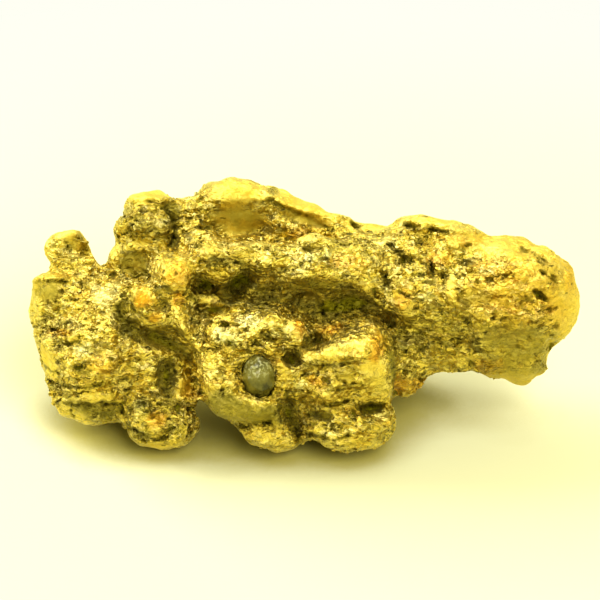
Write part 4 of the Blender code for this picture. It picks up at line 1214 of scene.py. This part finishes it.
table_mesh = bpy.data.meshes.new("table")
corners = [(x * TABLE_REACH, y * TABLE_REACH, 0) for x, y in ((-1, -1), (1, -1), (1, 1), (-1, 1))]
table_mesh.from_pydata(corners, [], [(0, 1, 2, 3)])
table = bpy.data.objects.new("table", table_mesh)
bpy.context.collection.objects.link(table)
pale_card = bpy.data.materials.new("pale_card")
pale_card.use_nodes = True
tree = pale_card.node_tree
tree.nodes.clear()
# Painted shadow: the card's colour darkens where the nugget is close above it.
closeness = add_node(tree, "ShaderNodeAmbientOcclusion", {"samples": 8}, {"Distance": SHADED_WITHIN * MM})
shading = add_node(
    tree, "ShaderNodeMapRange", SMOOTH, {"Value": closeness.outputs["AO"], "From Min": 0.38, "From Max": 0.87}
)
shaded = add_node(
    tree, "ShaderNodeMix", BLEND, {"Factor": shading, "A": linear(SHADED_CARD), "B": linear(CARD)}
)
near_by = add_node(tree, "ShaderNodeBsdfDiffuse", None, {"Color": shaded})
far_off = add_node(tree, "ShaderNodeEmission", None, {"Color": linear(FAR_CARD)})
place = add_node(tree, "ShaderNodeTexCoord").outputs["Object"]
distance = add_node(tree, "ShaderNodeVectorMath", {"operation": "LENGTH"}, {0: place})
fading = add_node(
    tree, "ShaderNodeMapRange", SMOOTH,
    {"Value": distance, "From Min": FADES_OUT[0] * MM, "From Max": FADES_OUT[1] * MM},
)
shown = add_node(tree, "ShaderNodeMixShader", None, {0: fading, 1: near_by, 2: far_off})
mirrored = add_node(tree, "ShaderNodeBsdfDiffuse", None, {"Color": linear(CARD_ON_GOLD)})
seen = add_node(tree, "ShaderNodeLightPath").outputs["Is Camera Ray"]
mixed = add_node(tree, "ShaderNodeMixShader", None, {0: seen, 1: mirrored, 2: shown})
add_node(tree, "ShaderNodeOutputMaterial", None, {"Surface": mixed})
table_mesh.materials.append(pale_card)

scene = bpy.context.scene
scene.view_settings.view_transform = "Standard"


NUGGET = (0, 0, 5)  # the lamps' aim, in millimetres
LAMP_COLOUR = (1.0, 0.98, 0.95)


def softbox(name, place, size, brightness, lit):
    """A round lamp facing the nugget, that many millimetres across, which lights only the objects given.
    Its brightness is what a mirror would show."""
    data = bpy.data.lights.new(name, "AREA")
    data.shape = "DISK"
    data.size = size * MM
    data.energy = brightness * math.pi**2 * (size * MM / 2) ** 2
    data.color = LAMP_COLOUR
    lamp = bpy.data.objects.new(name, data)
    lamp.location = Vector(place) * MM
    lamp.rotation_euler = (Vector(NUGGET) - Vector(place)).to_track_quat("-Z", "Y").to_euler()
    bpy.context.collection.objects.link(lamp)
    lamp.light_linking.receiver_collection = bpy.data.collections.new(name)
    for obj in lit:
        lamp.light_linking.receiver_collection.objects.link(obj)


# One lamp is for the nugget alone, and two are for the table alone, where they leave soft, pale shadows.
softbox("overhead", (-90, 60, 215), 300, 2.8, (gold, gold_crystals, quartz))
softbox("behind_left", (-192, 111, 81), 180, 31, (table,))
softbox("front_right", (90, -157, 152), 180, 17.5, (table,))

air = bpy.data.worlds.new("air")
air.use_nodes = True
scene.world = air
tree = air.node_tree
tree.nodes.clear()
# What the gold mirrors is brighter overhead, and a little brighter behind than in front.
direction = add_node(tree, "ShaderNodeTexCoord").outputs["Generated"]
split = add_node(tree, "ShaderNodeSeparateXYZ", None, {0: direction}).outputs
from_above = add_node(
    tree, "ShaderNodeMapRange", SMOOTH,
    {"Value": split["Z"], "From Max": 0.55, "To Min": 0.94, "To Max": 1.34},
)
from_behind = add_node(
    tree, "ShaderNodeMath", {"operation": "MULTIPLY_ADD"}, {0: split["Y"], 1: 0.08, 2: 1.0}
)
glowing = add_node(tree, "ShaderNodeMath", TIMES, {0: from_above, 1: from_behind})
glow = add_node(tree, "ShaderNodeBackground", None, {"Color": linear(AIR_ON_GOLD), "Strength": glowing})
backdrop = add_node(tree, "ShaderNodeBackground", None, {"Color": linear(FAR_AIR)})
seen = add_node(tree, "ShaderNodeLightPath").outputs["Is Camera Ray"]
mixed = add_node(tree, "ShaderNodeMixShader", None, {0: seen, 1: glow, 2: backdrop})
add_node(tree, "ShaderNodeOutputWorld", None, {"Surface": mixed})
